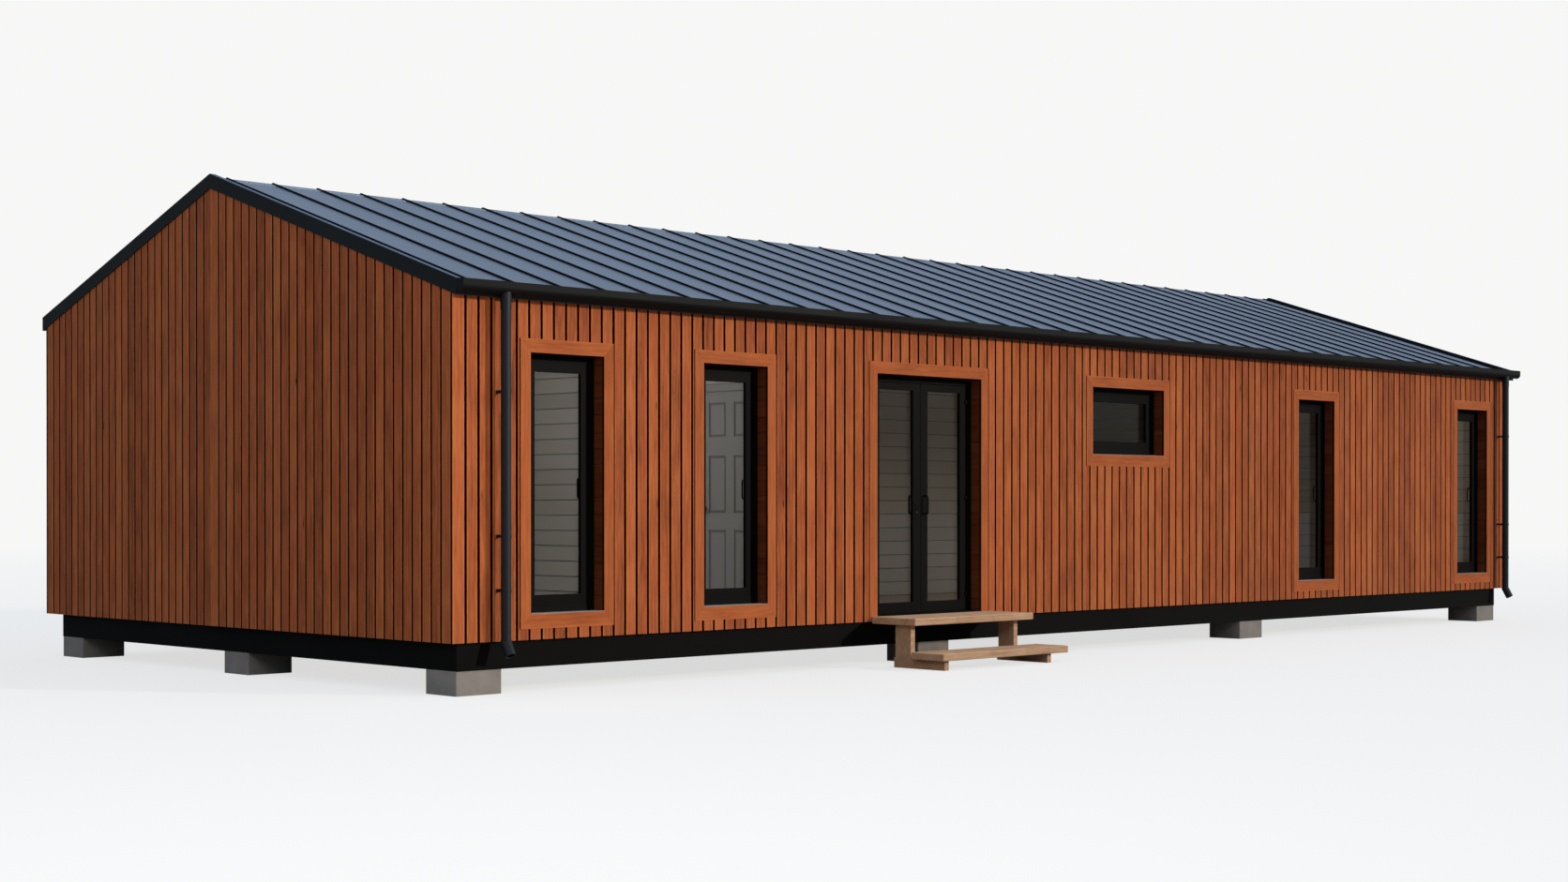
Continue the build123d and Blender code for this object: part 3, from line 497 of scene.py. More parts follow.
def timber_grain():
    """Long fibres, growth bands, soft patches and knots, from a board's own across, depth and along."""
    tree, given, out = node_group(
        "timber_grain",
        [("Place", "Vector", None), ("Knot Share", "Float", 0.12)],
        ["Fibres", "Bands", "Patches", "Knots", "Height"],
    )
    place = given["Place"]
    distance, number = cells(stretched(place, (4.2, 4.2, 1.15)), 1.6)
    some = sums("LESS_THAN", number, given["Knot Share"])
    halo = times(some, spread(distance, 0.03, 0.42, 0.35, 0.0))
    fibres = noise(stretched(place, (210, 210, 6.0)), 1.0, 5.0, 0.6)
    wander = noise(stretched(place, (5.0, 5.0, 1.1)), 1.0, 2.0)
    ring = times(plus(axes(place)[0], plus(times(wander, 0.16), halo)), 150.0)
    bands = spread(sums("SINE", ring), -0.7, 1.0)
    join(fibres, out, "Fibres")
    join(bands, out, "Bands")
    join(noise(stretched(place, (9.0, 9.0, 2.6)), 1.0, 3.0, 0.55), out, "Patches")
    join(times(some, spread(distance, 0.03, 0.10, 1.0, 0.0)), out, "Knots")
    join(plus(times(fibres, 0.7), times(bands, 0.3)), out, "Height")
    return tree


def painted_edge_highlight():
    """Painted highlight along an edge: its nearness, broken up by a fine pattern."""
    tree, given, out = node_group(
        "painted_edge_highlight",
        [("Edge", "Float", 0.0), ("Place", "Vector", None), ("Amount", "Float", 0.5)],
        ["Highlight"],
    )
    broken = spread(noise(given["Place"], 26.0, 4.0, 0.6), 0.35, 0.65)
    join(times(times(given["Edge"], broken), given["Amount"]), out, "Highlight")
    return tree


def settled_dust():
    """Dust: on faces that look up, and splashed low on the walls, broken up by soft patches."""
    tree, given, out = node_group(
        "settled_dust",
        [("Amount", "Float", 0.3), ("Splash Height", "Float", 0.9)],
        ["Dust"],
    )
    place = object_place(tree)
    low = spread(sums("DIVIDE", axes(place)[2], given["Splash Height"]), 0.3, 1.0, 0.6, 0.0)
    both = sums("MAXIMUM", spread(looking_up(tree), 0.5, 1.0), low)
    patches = spread(noise(place, 5.0, 5.0, 0.6), 0.35, 0.75)
    join(times(times(both, patches), given["Amount"]), out, "Dust")
    return tree


def fine_speckle():
    """The fine unevenness of a coating: small grains and slow waves."""
    tree, given, out = node_group(
        "fine_speckle",
        [("Grain Size", "Float", 0.002), ("Wave Size", "Float", 0.6)],
        ["Grains", "Waves"],
    )
    place = object_place(tree)
    join(noise(place, sums("DIVIDE", 1.0, given["Grain Size"]), 2.0, 0.6), out, "Grains")
    join(noise(place, sums("DIVIDE", 1.0, given["Wave Size"])), out, "Waves")
    return tree


grain_group = timber_grain()
edge_highlight_group = painted_edge_highlight()
dust_group = settled_dust()
speckle_group = fine_speckle()


def place_group(tree, group, inputs):
    """The outputs of a group set into a material with its own values."""
    return add(tree, "Group", inputs, node_tree=group).outputs


def grain_at(place, knot_share):
    """The timber grain at a place."""
    return place_group(place.id_data, grain_group, {"Place": place, "Knot Share": knot_share})


def dust_on(tree, amount, splash_height):
    """The share of dust on the faces of a material."""
    return place_group(tree, dust_group, {"Amount": amount, "Splash Height": splash_height})["Dust"]


def new_material(name, **plain):
    """An empty material with a Principled shader and its plain values."""
    material = bpy.data.materials.new(name)
    material.use_nodes = True
    tree = material.node_tree
    shader = tree.nodes["Principled BSDF"]
    for socket, value in plain.items():
        shader.inputs[socket.replace("_", " ")].default_value = value
    return material, tree, shader


def bump(shader, height, distance, strength):
    """Fine relief from a height between 0 and 1, this many metres deep."""
    inputs = {"Height": height, "Distance": distance, "Strength": strength}
    join(add(height.id_data, "Bump", inputs).outputs["Normal"], shader, "Normal")


def board_value(tree, name, output="Fac"):
    """A value that the boards carry on their points."""
    return add(tree, "Attribute", attribute_name=name).outputs[output]


# Materials

def larch(name, dark, middle, light, knot_share, slot_depth, tone_spread=1.0, paler_edge=1.0):
    """Stained larch: three browns mixed by board, fibre and growth band, with painted shade down the
    sides of the slots, knots, painted highlights along the edges, and splashed dust."""
    material, tree, shader = new_material(name, Specular_IOR_Level=0.12)
    dark, middle, light = rgb(*dark), rgb(*middle), rgb(*light)
    place = board_value(tree, "grain", "Vector")
    grain = grain_at(place, knot_share)
    edge = board_value(tree, "edge")
    tone = spread(board_value(tree, "tone"), 0.0, 1.0, 0.5 - 0.5 * tone_spread, 0.5 + 0.5 * tone_spread)
    mix = plus(times(tone, 0.28), times(spread(grain["Fibres"], 0.3, 0.7), 0.26))
    mix = plus(mix, times(grain["Bands"], -0.12))
    mix = plus(mix, spread(grain["Patches"], 0.3, 0.7, 0.02, 0.30))
    # Painted highlight: the board is lighter near its edges.
    mix = plus(mix, times(edge, 0.22 * paler_edge))
    lower = blend(spread(mix, 0.05, 0.48), dark, middle)
    colour = blend(spread(mix, 0.45, 0.90), lower, light)
    red_patches = noise(stretched(place, (6.0, 6.0, 1.9)), 1.0, 2.0)
    redder = (min(1.0, 1.06 * middle[0]), 0.84 * middle[1], 0.80 * middle[2], 1.0)
    colour = blend(spread(red_patches, 0.50, 0.74, 0.0, 0.36), colour, redder)
    colour = blend(times(grain["Knots"], 0.88), colour, scaled(dark, 0.30))
    # Painted highlight: a lighter colour along the rounded edges, broken up by a fine pattern.
    highlit_edge = spread(edge, 0.45, 1.0)
    painted_edge_light = place_group(tree, edge_highlight_group, {"Edge": highlit_edge, "Place": place, "Amount": 0.65 * paler_edge})
    colour = blend(painted_edge_light["Highlight"], colour, scaled(light, 1.30, 0.01))
    # Painted shade: the board's sides darken to near black with depth below the face, down into the
    # slots.
    inside = spread(board_value(tree, "depth"), 0.0006, slot_depth, 0.0, 0.985)
    colour = blend(inside, colour, scaled(dark, 0.04))
    join(blend(dust_on(tree, 0.10, 1.1), colour, rgb(150, 122, 98)), shader, "Base Color")
    join(spread(grain["Fibres"], 0.2, 0.8, 0.72, 0.54), shader, "Roughness")
    bump(shader, grain["Height"], 0.0009, 0.7)
    return material


def coated_metal(
    name, dark, light, roughness, metallic=0.0, dust=0.0, waves=0.9, relief=0.00012, shine=0.45,
):
    """Painted or coated sheet: two close colours by slow waves, fine grains, dust, and a dull shine.

    It gives the material, its node tree, its shader and its colour, for what is laid over it.
    """
    material, tree, shader = new_material(name, Metallic=metallic, Specular_IOR_Level=shine)
    speckle = place_group(tree, speckle_group, {"Grain Size": 0.0022, "Wave Size": waves})
    colour = blend(spread(speckle["Waves"], 0.3, 0.7), rgb(*dark), rgb(*light))
    colour = blend(spread(speckle["Grains"], 0.3, 0.7, 0.0, 0.12), colour, scaled(rgb(*light), 2.2))
    dusty = dust_on(tree, dust, 0.7)
    colour = blend(dusty, colour, rgb(140, 134, 126))
    join(colour, shader, "Base Color")
    rough = spread(speckle["Waves"], 0.3, 0.7, roughness - 0.05, roughness + 0.06)
    join(plus(rough, dusty), shader, "Roughness")
    bump(shader, speckle["Grains"], relief, 0.5)
    return material, tree, shader, colour


def coating(*values, **more):
    """A coated metal with nothing laid over it."""
    return coated_metal(*values, **more)[0]


def seam_distance(tree):
    """How far a place is from the nearest standing seam, in metres along the house."""
    pitch = (right_x - left_x - 2 * seam_margin) / (seam_count - 1)
    number = sums("DIVIDE", sums("SUBTRACT", axes(object_place(tree))[0], left_x + seam_margin), pitch)
    return times(sums("ABSOLUTE", sums("SUBTRACT", number, sums("ROUND", number))), pitch)


def roof_metal():
    """Blue-grey standing-seam sheet: fine metallic grain, slow waves across each bay, and painted shade:
    a darker band beside each seam and the seams near-black.
    """
    material, tree, shader, colour = coated_metal(
        "roof_metal", (70, 84, 103), (80, 94, 113), 0.34, metallic=0.35, waves=1.2, relief=0.00004,
    )
    brushed = noise(stretched(object_place(tree), (330, 14, 14)), 1.0, 3.0, 0.6)
    colour = blend(spread(brushed, 0.35, 0.75, 0.0, 0.10), colour, rgb(96, 116, 142))
    beside = seam_distance(tree)
    # Painted shade: a darker band beside each seam.
    colour = blend(spread(beside, seam_half_width, seam_shade, 0.25, 0.0), colour, rgb(58, 68, 84))
    # Painted shade: the seams themselves are near-black.
    seam = spread(beside, seam_half_width, seam_half_width + 0.001, 1.0, 0.0)
    join(blend(seam, colour, rgb(9, 12, 17)), shader, "Base Color")
    join(spread(seam, 0.0, 1.0, 0.34, 0.95), shader, "Roughness")
    return material


def verge_metal():
    """Folded verge sheet: dark on its upright face, with painted light on its top, which is blue-grey
    like the roof.
    """
    material, tree, shader, colour = coated_metal(
        "verge_metal", (16, 18, 15), (20, 22, 19), 0.55, shine=0.11,
    )
    # Painted light: faces that look up take a lighter blue-grey than the upright face.
    top = spread(looking_up(tree), 0.5, 0.8)
    join(blend(top, colour, rgb(84, 98, 118)), shader, "Base Color")
    return material


def past_walls(tree, margin=0.0):
    """1 where a place is further out than the walls' outer faces less a margin, and 0 elsewhere."""
    place = axes(object_place(tree))
    inset = cladding_depth + margin
    ends = sums("GREATER_THAN", sums("ABSOLUTE", place[0]), right_x - inset)
    front = sums("LESS_THAN", place[1], front_y + inset)
    back = sums("GREATER_THAN", place[1], back_y - inset)
    return sums("MAXIMUM", ends, sums("MAXIMUM", front, back))


def inner_wall():
    """Walls: horizontal painted boards inside, dark weather sheet outside."""
    material, tree, shader = new_material("inner_wall", Specular_IOR_Level=0.35, Roughness=0.55)
    place = object_place(tree)
    number = sums("DIVIDE", sums("SUBTRACT", axes(place)[2], floor_top), lining_board)
    joint = spread(sums("FRACT", number), 0.0, lining_joint / lining_board, 1.0, 0.0)
    soft = noise(stretched(place, (3, 3, 30)), 1.0, 4.0, 0.6)
    painted = blend(spread(soft, 0.3, 0.7), rgb(168, 163, 155), rgb(186, 181, 174))
    painted = blend(times(joint, 0.9), painted, rgb(44, 40, 36))
    join(blend(past_walls(tree, wall_margin), painted, rgb(14, 11, 9)), shader, "Base Color")
    bump(shader, sums("SUBTRACT", 1.0, joint), 0.003, 0.8)
    return material


def painted_boards(name, dark, light):
    """Painted lining boards with faint fibres under the paint, and painted shade down their sides at the
    joints.
    """
    material, tree, shader = new_material(name, Specular_IOR_Level=0.35)
    grain = grain_at(board_value(tree, "grain", "Vector"), 0.03)
    mix = plus(times(board_value(tree, "tone"), 0.5), times(grain["Fibres"], 0.5))
    colour = blend(mix, rgb(*dark), rgb(*light))
    # Painted shade: the board's sides darken with depth below the face, at the joints.
    deep = spread(board_value(tree, "depth"), 0.0006, 0.004, 0.0, 0.96)
    join(blend(deep, colour, rgb(20, 18, 16)), shader, "Base Color")
    join(spread(grain["Fibres"], 0.2, 0.8, 0.60, 0.48), shader, "Roughness")
    bump(shader, grain["Height"], 0.0004, 0.4)
    return material


def door_paint():
    """Satin paint on the panelled door, with painted shade in the grooves round its panels."""
    material, tree, shader, colour = coated_metal("door_paint", (150, 151, 153), (162, 163, 165), 0.40)
    half = inner_leaf_thickness / 2
    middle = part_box("inner_door_leaf")[1].x - half
    from_middle = sums("ABSOLUTE", sums("SUBTRACT", axes(object_place(tree))[0], middle))
    # Painted shade: darker where the face lies deeper than half a groove's depth, in the grooves.
    groove = spread(from_middle, half - groove_depth, half - groove_depth / 2, 0.45, 0.0)
    join(blend(groove, colour, rgb(44, 42, 40)), shader, "Base Color")
    return material


def clear_glass():
    """Pane glass: a faint warm grey tint, and lamps shine through it unbent."""
    material, tree, shader = new_material(
        "clear_glass", Base_Color=rgb(218, 216, 210), Roughness=0.0, IOR=1.45, Transmission_Weight=1.0,
    )
    through = add(tree, "BsdfTransparent", {"Color": rgb(210, 209, 203)}).outputs[0]
    shadow = add(tree, "LightPath").outputs["Is Shadow Ray"]
    join(mixed_shaders(shadow, shader.outputs[0], through), tree.nodes["Material Output"], "Surface")
    return material


def cast_concrete():
    """Precast blocks: grey to beige patches, fine sand, small air holes and fine dark scratches."""
    material, tree, shader = new_material("cast_concrete", Specular_IOR_Level=0.25)
    place = object_place(tree)
    patches = spread(noise(place, 5.0, 5.0, 0.6), 0.3, 0.7)
    colour = blend(patches, rgb(116, 108, 101), rgb(138, 130, 121))
    sand = noise(place, 420.0, 3.0, 0.7)
    colour = blend(spread(sand, 0.42, 0.68, 0.0, 0.35), colour, rgb(176, 168, 158))
    distance, number = cells(place, 34.0)
    pit = times(sums("LESS_THAN", number, 0.16), spread(distance, 0.05, 0.13, 1.0, 0.0))
    colour = blend(times(pit, 0.75), colour, rgb(66, 60, 54))
    scratch = noise(stretched(place, (12, 12, 60)), 1.0, 6.0, 0.7, 1.2)
    colour = blend(spread(scratch, 0.60, 0.72, 0.0, 0.35), colour, rgb(92, 86, 80))
    join(colour, shader, "Base Color")
    join(spread(sand, 0.3, 0.7, 0.82, 0.95), shader, "Roughness")
    bump(shader, sums("SUBTRACT", times(sand, 0.5), pit), 0.0018, 0.8)
    return material


def point(first, second, third):
    """A vector from its three parts, the first of them a node's output."""
    return add(first.id_data, "CombineXYZ", {0: first, 1: second, 2: third}).outputs[0]


def step_timber():
    """Sawn softwood: fibres along the tread, growth bands, knots and dirt, with painted shade on upright
    faces.
    """
    material, tree, shader = new_material("step_timber", Specular_IOR_Level=0.22)
    place = object_place(tree)
    along, across, up = axes(place)
    grain = grain_at(point(plus(across, times(up, 0.8)), up, along), 0.22)
    mix = plus(times(grain["Fibres"], 0.6), times(grain["Patches"], 0.5))
    colour = blend(spread(mix, 0.3, 0.8), rgb(188, 143, 105), rgb(252, 209, 167))
    colour = blend(times(grain["Bands"], 0.22), colour, rgb(128, 94, 68))
    colour = blend(times(grain["Knots"], 0.7), colour, rgb(78, 50, 34))
    dirt = spread(noise(place, 8.0, 5.0, 0.65), 0.5, 0.8, 0.0, 0.45)
    colour = blend(dirt, colour, rgb(116, 96, 80))
    # Painted shade: faces that don't look up are darkened.
    upright = spread(looking_up(tree), 0.3, 0.8, 0.37, 0.0)
    join(blend(upright, colour, rgb(106, 71, 47)), shader, "Base Color")
    join(spread(grain["Fibres"], 0.2, 0.8, 0.85, 0.7), shader, "Roughness")
    bump(shader, grain["Height"], 0.0016, 0.9)
    return material


def laid_floor():
    """Inside floor: long boards with fine joints."""
    material, tree, shader = new_material("laid_floor", Specular_IOR_Level=0.4, Roughness=0.45)
    place = axes(object_place(tree))
    number = sums("DIVIDE", place[1], floor_board)
    joint = spread(sums("FRACT", number), 0.0, 0.02, 1.0, 0.0)
    grain = grain_at(point(place[1], sums("FLOOR", number), place[0]), 0.06)
    colour = blend(grain["Fibres"], rgb(120, 98, 76), rgb(158, 134, 108))
    join(blend(times(joint, 0.7), colour, rgb(50, 38, 28)), shader, "Base Color")
    bump(shader, grain["Height"], 0.0004, 0.4)
    return material


def roof_panel():
    """Roof deck: white ceiling over the rooms, dark paint where it runs out past the walls."""
    material, tree, shader = new_material("roof_panel", Specular_IOR_Level=0.3, Roughness=0.6)
    place = object_place(tree)
    ceiling = blend(noise(place, 3.0, 4.0, 0.6), rgb(198, 194, 186), rgb(214, 210, 203))
    join(blend(past_walls(tree), ceiling, rgb(26, 27, 28)), shader, "Base Color")
    bump(shader, noise(place, 300.0, 2.0, 0.6), 0.0003, 0.3)
    return material


batten_larch = larch("batten_larch", (117, 53, 22), (175, 90, 44), (205, 117, 64), 0.22, 0.0045)
surround_larch = larch("surround_larch", (140, 66, 29), (176, 92, 44), (192, 106, 56), 0.12, 0.012, 0.5)
# Painted shade: the reveal boards take a darker copy of the batten larch, for the shaded reveals.
shaded_reveal_larch = larch("shaded_reveal_larch", (76, 34, 15), (103, 49, 24), (119, 60, 31), 0.12, 0.003, 0.9, 0.0)
lining_paint = painted_boards("lining_paint", (172, 169, 164), (196, 194, 189))
lath_stain = painted_boards("lath_stain", (16, 12, 9), (24, 18, 13))
trim_metal = coating("trim_metal", (9, 9, 8), (13, 13, 12), 0.55, shine=0.11)
pipe_metal = coating("pipe_metal", (18, 22, 23), (23, 27, 28), 0.48, dust=0.02, shine=0.30)
frame_coating = coating("frame_coating", (6, 5, 3), (9, 8, 6), 0.50, shine=0.05)
handle_coating = coating("handle_coating", (8, 8, 8), (12, 12, 12), 0.35, shine=0.30)
chassis_paint = coating("chassis_paint", (6, 5, 3), (9, 8, 6), 0.66, shine=0.06)
sill_metal = coating("sill_metal", (158, 158, 156), (176, 176, 173), 0.40, metallic=0.2, dust=0.10)
lock_steel = coating("lock_steel", (46, 46, 45), (58, 58, 57), 0.40, metallic=0.6)
satin_nickel = coating("satin_nickel", (176, 172, 164), (190, 186, 178), 0.28, metallic=1.0)


# Finishes of the CAD pieces that stay

finishes = (
    (cast_concrete(), ("foundation_blocks",)),
    (chassis_paint, ("chassis_long_beams", "chassis_end_beams", "chassis_cross_members")),
    (laid_floor(), ("floor_deck",)),
    (inner_wall(), (
        "front_wall_left", "front_wall_over_door", "front_wall_right", "back_wall", "left_gable_wall",
        "right_gable_wall", "partition_front", "partition_over_door", "partition_back", "spine_wall",
    )),
    (door_paint(), ("inner_door_frame", "inner_door_leaf")),
    (satin_nickel, ("inner_door_knobs",)),
    (frame_coating, (
        "tall_window_frames", "tall_window_sashes", "small_window_frames", "small_window_sashes",
        "door_frame", "left_door_leaf", "right_door_leaf",
    )),
    (clear_glass(), ("tall_window_glass", "small_window_glass", "left_door_glass", "right_door_glass")),
    (handle_coating, ("left_door_handle", "right_door_handles")),
    (roof_panel(), ("roof_deck_front", "roof_deck_back")),
    (roof_metal(), ("roof_sheet_front", "roof_sheet_back", "ridge_flashing")),
    (verge_metal(), ("left_verge_trim", "right_verge_trim")),
    (trim_metal, ("front_gutter", "back_gutter")),
    (pipe_metal, ("front_downpipes", "back_downpipes")),
    (step_timber(), ("upper_tread", "lower_tread", "step_supports")),
)
for material, names in finishes:
    for name in names:
        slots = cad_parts[name].data.materials
        slots.clear()
        slots.append(material)


# Cladding

def batten_spans(start, end, pitch):
    """Start and end of each batten: even pitches over the run, with half a gap off each inner end."""
    count = round((end - start) / pitch)
    lines = np.linspace(start, end, count + 1)
    low = lines[:-1] + batten_gap / 2
    high = lines[1:] - batten_gap / 2
    low[0] = start
    high[-1] = end
    return list(zip(low, high))


def strips_round_openings(span, holes, top):
    """A batten as strips, cut short above and below each opening and ripped beside it.

    Each strip has its two edges, its foot and head, and whether each edge is the batten's own.
    """
    low, high = span
    slots = [(hole[0] - surround_slot, hole[1] + surround_slot) for hole in holes]
    lines = sorted({low, high} | {line for slot in slots for line in slot if low < line < high})
    for start, end in zip(lines[:-1], lines[1:]):
        if end - start < narrowest_strip:
            continue
        middle = (start + end) / 2
        levels = [cladding_bottom]
        for hole in sorted(holes, key=lambda hole: hole[2]):
            if hole[0] - surround_slot < middle < hole[1] + surround_slot:
                levels += [hole[2], hole[3]]
        levels.append(top)
        for foot, head in zip(levels[::2], levels[1::2]):
            if head - foot > narrowest_strip:
                yield start, end, foot, head, start == low, end == high


def meets(line, others):
    """Whether a line lies on one of some other lines."""
    return any(abs(other - line) < line_error for other in others)


def battens_along(face_y, outwards, holes, top):
    """Upright battens on a long wall, round its openings."""
    made = []
    left_slots = [hole[0] - surround_slot for hole in holes]
    right_slots = [hole[1] + surround_slot for hole in holes]
    for span in batten_spans(left_x, right_x, batten_pitch):
        stagger = chance.uniform(-batten_stagger, 0.0)
        for start, end, foot, head, free_left, free_right in strips_round_openings(span, holes, top):
            from_bottom = foot == cladding_bottom
            bend_left = free_left or (from_bottom and meets(start, right_slots))
            bend_right = free_right or (from_bottom and meets(end, left_slots))
            rounding = (
                batten_rounding if bend_left else flush_rounding,
                batten_rounding if bend_right else flush_rounding,
            )
            made.append(board(
                (start, face_y, 0), (1, 0, 0), (0, outwards, 0), (0, 0, 1), end - start,
                batten_thickness, (foot, head), rounding=rounding, stations=board_stations,
                bow=chance.uniform(-batten_bow, 0), stagger=stagger,
            ))
    return made


def battens_on_gable(face_x, outwards):
    """Upright battens on a gable, each cut to the roof's slope, with a slot under the ridge."""
    made = []
    near = front_y + batten_thickness
    far = back_y - batten_thickness
    spans = batten_spans(near, ridge_y, gable_pitch) + batten_spans(ridge_y, far, gable_pitch)
    for start, end in spans:
        head = float(underside(start))
        slope = (float(underside(end)) - head) / (end - start)
        made.append(board(
            (face_x, start, 0), (0, 1, 0), (outwards, 0, 0), (0, 0, 1), end - start, batten_thickness,
            (cladding_bottom, head), slopes=(0.0, slope), stations=board_stations,
            bow=chance.uniform(-batten_bow, 0), stagger=chance.uniform(-batten_stagger, 0.0),
        ))
    return made


def laths(start, end, face, along, outwards, holes, top):
    """Level laths behind the battens, broken at the openings."""
    made = []
    depth = cladding_depth - batten_thickness
    foot = cladding_bottom + lath_height
    while foot < top - lath_height:
        cuts = sorted(hole[:2] for hole in holes if hole[2] < foot + lath_height and hole[3] > foot)
        places = [start] + [line for cut in cuts for line in cut] + [end]
        for ends in zip(places[::2], places[1::2]):
            corner = (face[0], face[1], foot)
            made.append(board(corner, (0, 0, 1), outwards, along, lath_height, depth, ends))
        foot += lath_spacing
    return made


front_holes = [hole["outer"] for hole in windows + [door] if hole["side"] < 0]
back_holes = [hole["outer"] for hole in windows if hole["side"] > 0]
front_top = float(underside(front_y))
back_top = float(underside(back_y))
front_cladding = ("front_cladding_left", "front_cladding_over_door", "front_cladding_right")
battens = battens_along(front_y, -1, front_holes, front_top)
make_piece("front_battens", battens, batten_larch, stands_for=front_cladding)
battens = battens_along(back_y, 1, back_holes, back_top)
make_piece("back_battens", battens, batten_larch, stands_for=("back_cladding",))
for name, cladding, face_x, outwards in (
    ("left_gable_battens", "left_gable_cladding", left_x, -1),
    ("right_gable_battens", "right_gable_cladding", right_x, 1),
):
    battens = battens_on_gable(face_x, outwards)
    make_piece(name, battens, batten_larch, stands_for=(cladding,))

lath_ends = (left_x + cladding_depth, right_x - cladding_depth)
make_piece(
    "long_wall_laths",
    laths(*lath_ends, (0, front_y + batten_thickness), (1, 0, 0), (0, -1, 0), front_holes, front_top)
    + laths(*lath_ends, (0, back_y - batten_thickness), (1, 0, 0), (0, 1, 0), back_holes, back_top),
    lath_stain,
)
gable_lath_ends = (front_y + cladding_depth, back_y - cladding_depth)
make_piece(
    "gable_laths",
    laths(*gable_lath_ends, (left_x + batten_thickness, 0), (0, 1, 0), (-1, 0, 0), [], front_top)
    + laths(*gable_lath_ends, (right_x - batten_thickness, 0), (0, 1, 0), (1, 0, 0), [], front_top),
    lath_stain,
)


# Surrounds and reveals

def surround_boards(hole, has_sill):
    """Flat boards round an opening, mitred from its corners out to the surround's corners."""
    left, right, foot, head = hole["inner"]
    outer = hole["outer"]
    width = left - outer[0]
    over = outer[3] - head
    under = foot - outer[2]
    facing = (0, hole["side"], 0)
    edges = (flush_rounding, batten_rounding)
    made = []
    for level, upwards, height, mitred in ((head, 1, over, True), (foot, -1, under, has_sill)):
        slope = width / height if mitred else 0.0
        made.append(board(
            (0, hole["face"], level), (0, 0, upwards), facing, (1, 0, 0), height, batten_thickness,
            (left + mitre_gap, right - mitre_gap), slopes=(-slope, slope), rounding=edges, stations=4,
        ))
    foot_slope = -under / width if has_sill else 0.0
    side_foot = foot + mitre_gap if has_sill else outer[2]
    for corner_x, away in ((left, -1), (right, 1)):
        made.append(board(
            (corner_x, hole["face"], 0), (away, 0, 0), facing, (0, 0, 1), width, batten_thickness,
            (side_foot, head - mitre_gap), slopes=(foot_slope, over / width), rounding=edges, stations=6,
        ))
    return made


def reveal_boards(hole, has_sill):
    """Short boards that line an opening's sides, one over the other, and one along its head and foot."""
    left, right, foot, head = hole["inner"]
    side = hole["side"]
    inwards = (0, -side, 0)
    ends = (batten_thickness, hole["depth"])
    made = []
    for wall_x, outwards in ((left + reveal_backing, 1), (right - reveal_backing, -1)):
        level = foot
        while head - level > reveal_joint:
            top = min(head, level + chance.uniform(*reveal_board_heights))
            if head - top < reveal_board_heights[0] / 2:
                top = head
            made.append(board(
                (wall_x, hole["face"], level), (0, 0, 1), (outwards, 0, 0), inwards,
                top - level - reveal_joint, reveal_lining - reveal_backing, ends,
                rounding=(reveal_rounding, reveal_rounding),
            ))
            level = top
    levels = ((head, -1), (foot, 1)) if has_sill else ((head, -1),)
    for level, upwards in levels:
        made.append(board(
            (0, hole["face"] - side * ends[0], level), inwards, (0, 0, upwards), (1, 0, 0),
            ends[1] - ends[0], reveal_lining, (left - reveal_lining, right + reveal_lining),
            rounding=flush_edges,
        ))
    return made


def reveal_backings(hole):
    """Thin dark strips up both sides of an opening, behind the lining boards and their joints."""
    left, right, foot, head = hole["inner"]
    return [board(
        (wall_x, hole["face"], foot), (0, 0, 1), (outwards, 0, 0), (0, -hole["side"], 0), head - foot,
        reveal_backing, (batten_thickness, hole["depth"]), rounding=flush_edges,
    ) for wall_x, outwards in ((left, 1), (right, -1))]


surrounds = (
    ("tall_window", tall_windows, True, "tall_window_surrounds"),
    ("small_window", small_windows, True, "small_window_surrounds"),
    ("door", [door], False, "door_surround"),
)
for kind, found, has_sill, surround in surrounds:
    boards = [solid for hole in found for solid in surround_boards(hole, has_sill)]
    make_piece(
        kind + "_surround_boards", boards, surround_larch, stands_for=(surround,),
    )
    lining = [solid for hole in found for solid in reveal_boards(hole, has_sill)]
    make_piece(kind + "_reveal_boards", lining, shaded_reveal_larch)
    backing = [solid for hole in found for solid in reveal_backings(hole)]
    make_piece(kind + "_reveal_backing", backing, lath_stain)


# Sills, handles and door furniture

def window_sill(hole):
    """Thin flat sheet over the foot of an opening, its nose a little out past the cladding."""
    left, right, foot, _ = hole["inner"]
    return board(
        (left, hole["face"], foot + sill_thickness), (1, 0, 0), (0, 0, 1), (0, -hole["side"], 0),
        right - left, sill_thickness, (-sill_nose / 2, hole["depth"]), rounding=flush_edges,
    )


def window_handle(hole):
    """Bar handle bent to a D, on the room side of the sash's right stile."""
    _, right, foot, _ = hole["inner"]
    side = hole["side"]
    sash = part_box("tall_window_sashes")
    inside = sash[0].y + sash_thickness if side < 0 else sash[1].y - sash_thickness
    x = right - frame_width - sash_stile / 2
    low = foot + handle_above_sill
    high = low + handle_length
    reach = inside - side * handle_stand_off
    corners = [(x, inside, high), (x, reach, high), (x, reach, low), (x, inside, low)]
    return bar(rounded_path(corners, handle_turn), handle_bar, (1, 0, 0))


make_piece("window_sills", [window_sill(hole) for hole in windows], sill_metal)
handles = [window_handle(hole) for hole in tall_windows]
make_piece("window_handles", handles, handle_coating, smooth=True)

plate_y = front_y + leaf_setback - plate_thickness
lock_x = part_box("left_door_leaf")[1].x - lock_from_edge
lock_z = cladding_bottom + keyhole_height
lock_plate = board(
    (lock_x - plate_width / 2, plate_y, lock_z - plate_length / 2), (1, 0, 0), (0, -1, 0), (0, 0, 1),
    plate_width, plate_thickness, (0, plate_length), rounding=(plate_rounding, plate_rounding),
)
keyhole = button((lock_x, plate_y, lock_z), (0, -1, 0), (1, 0, 0), keyhole_radius, keyhole_depth)
make_piece("door_lock_plate", [lock_plate], frame_coating, body="left_door")
make_piece("door_lock_cylinder", [keyhole], lock_steel, body="left_door", smooth=True)


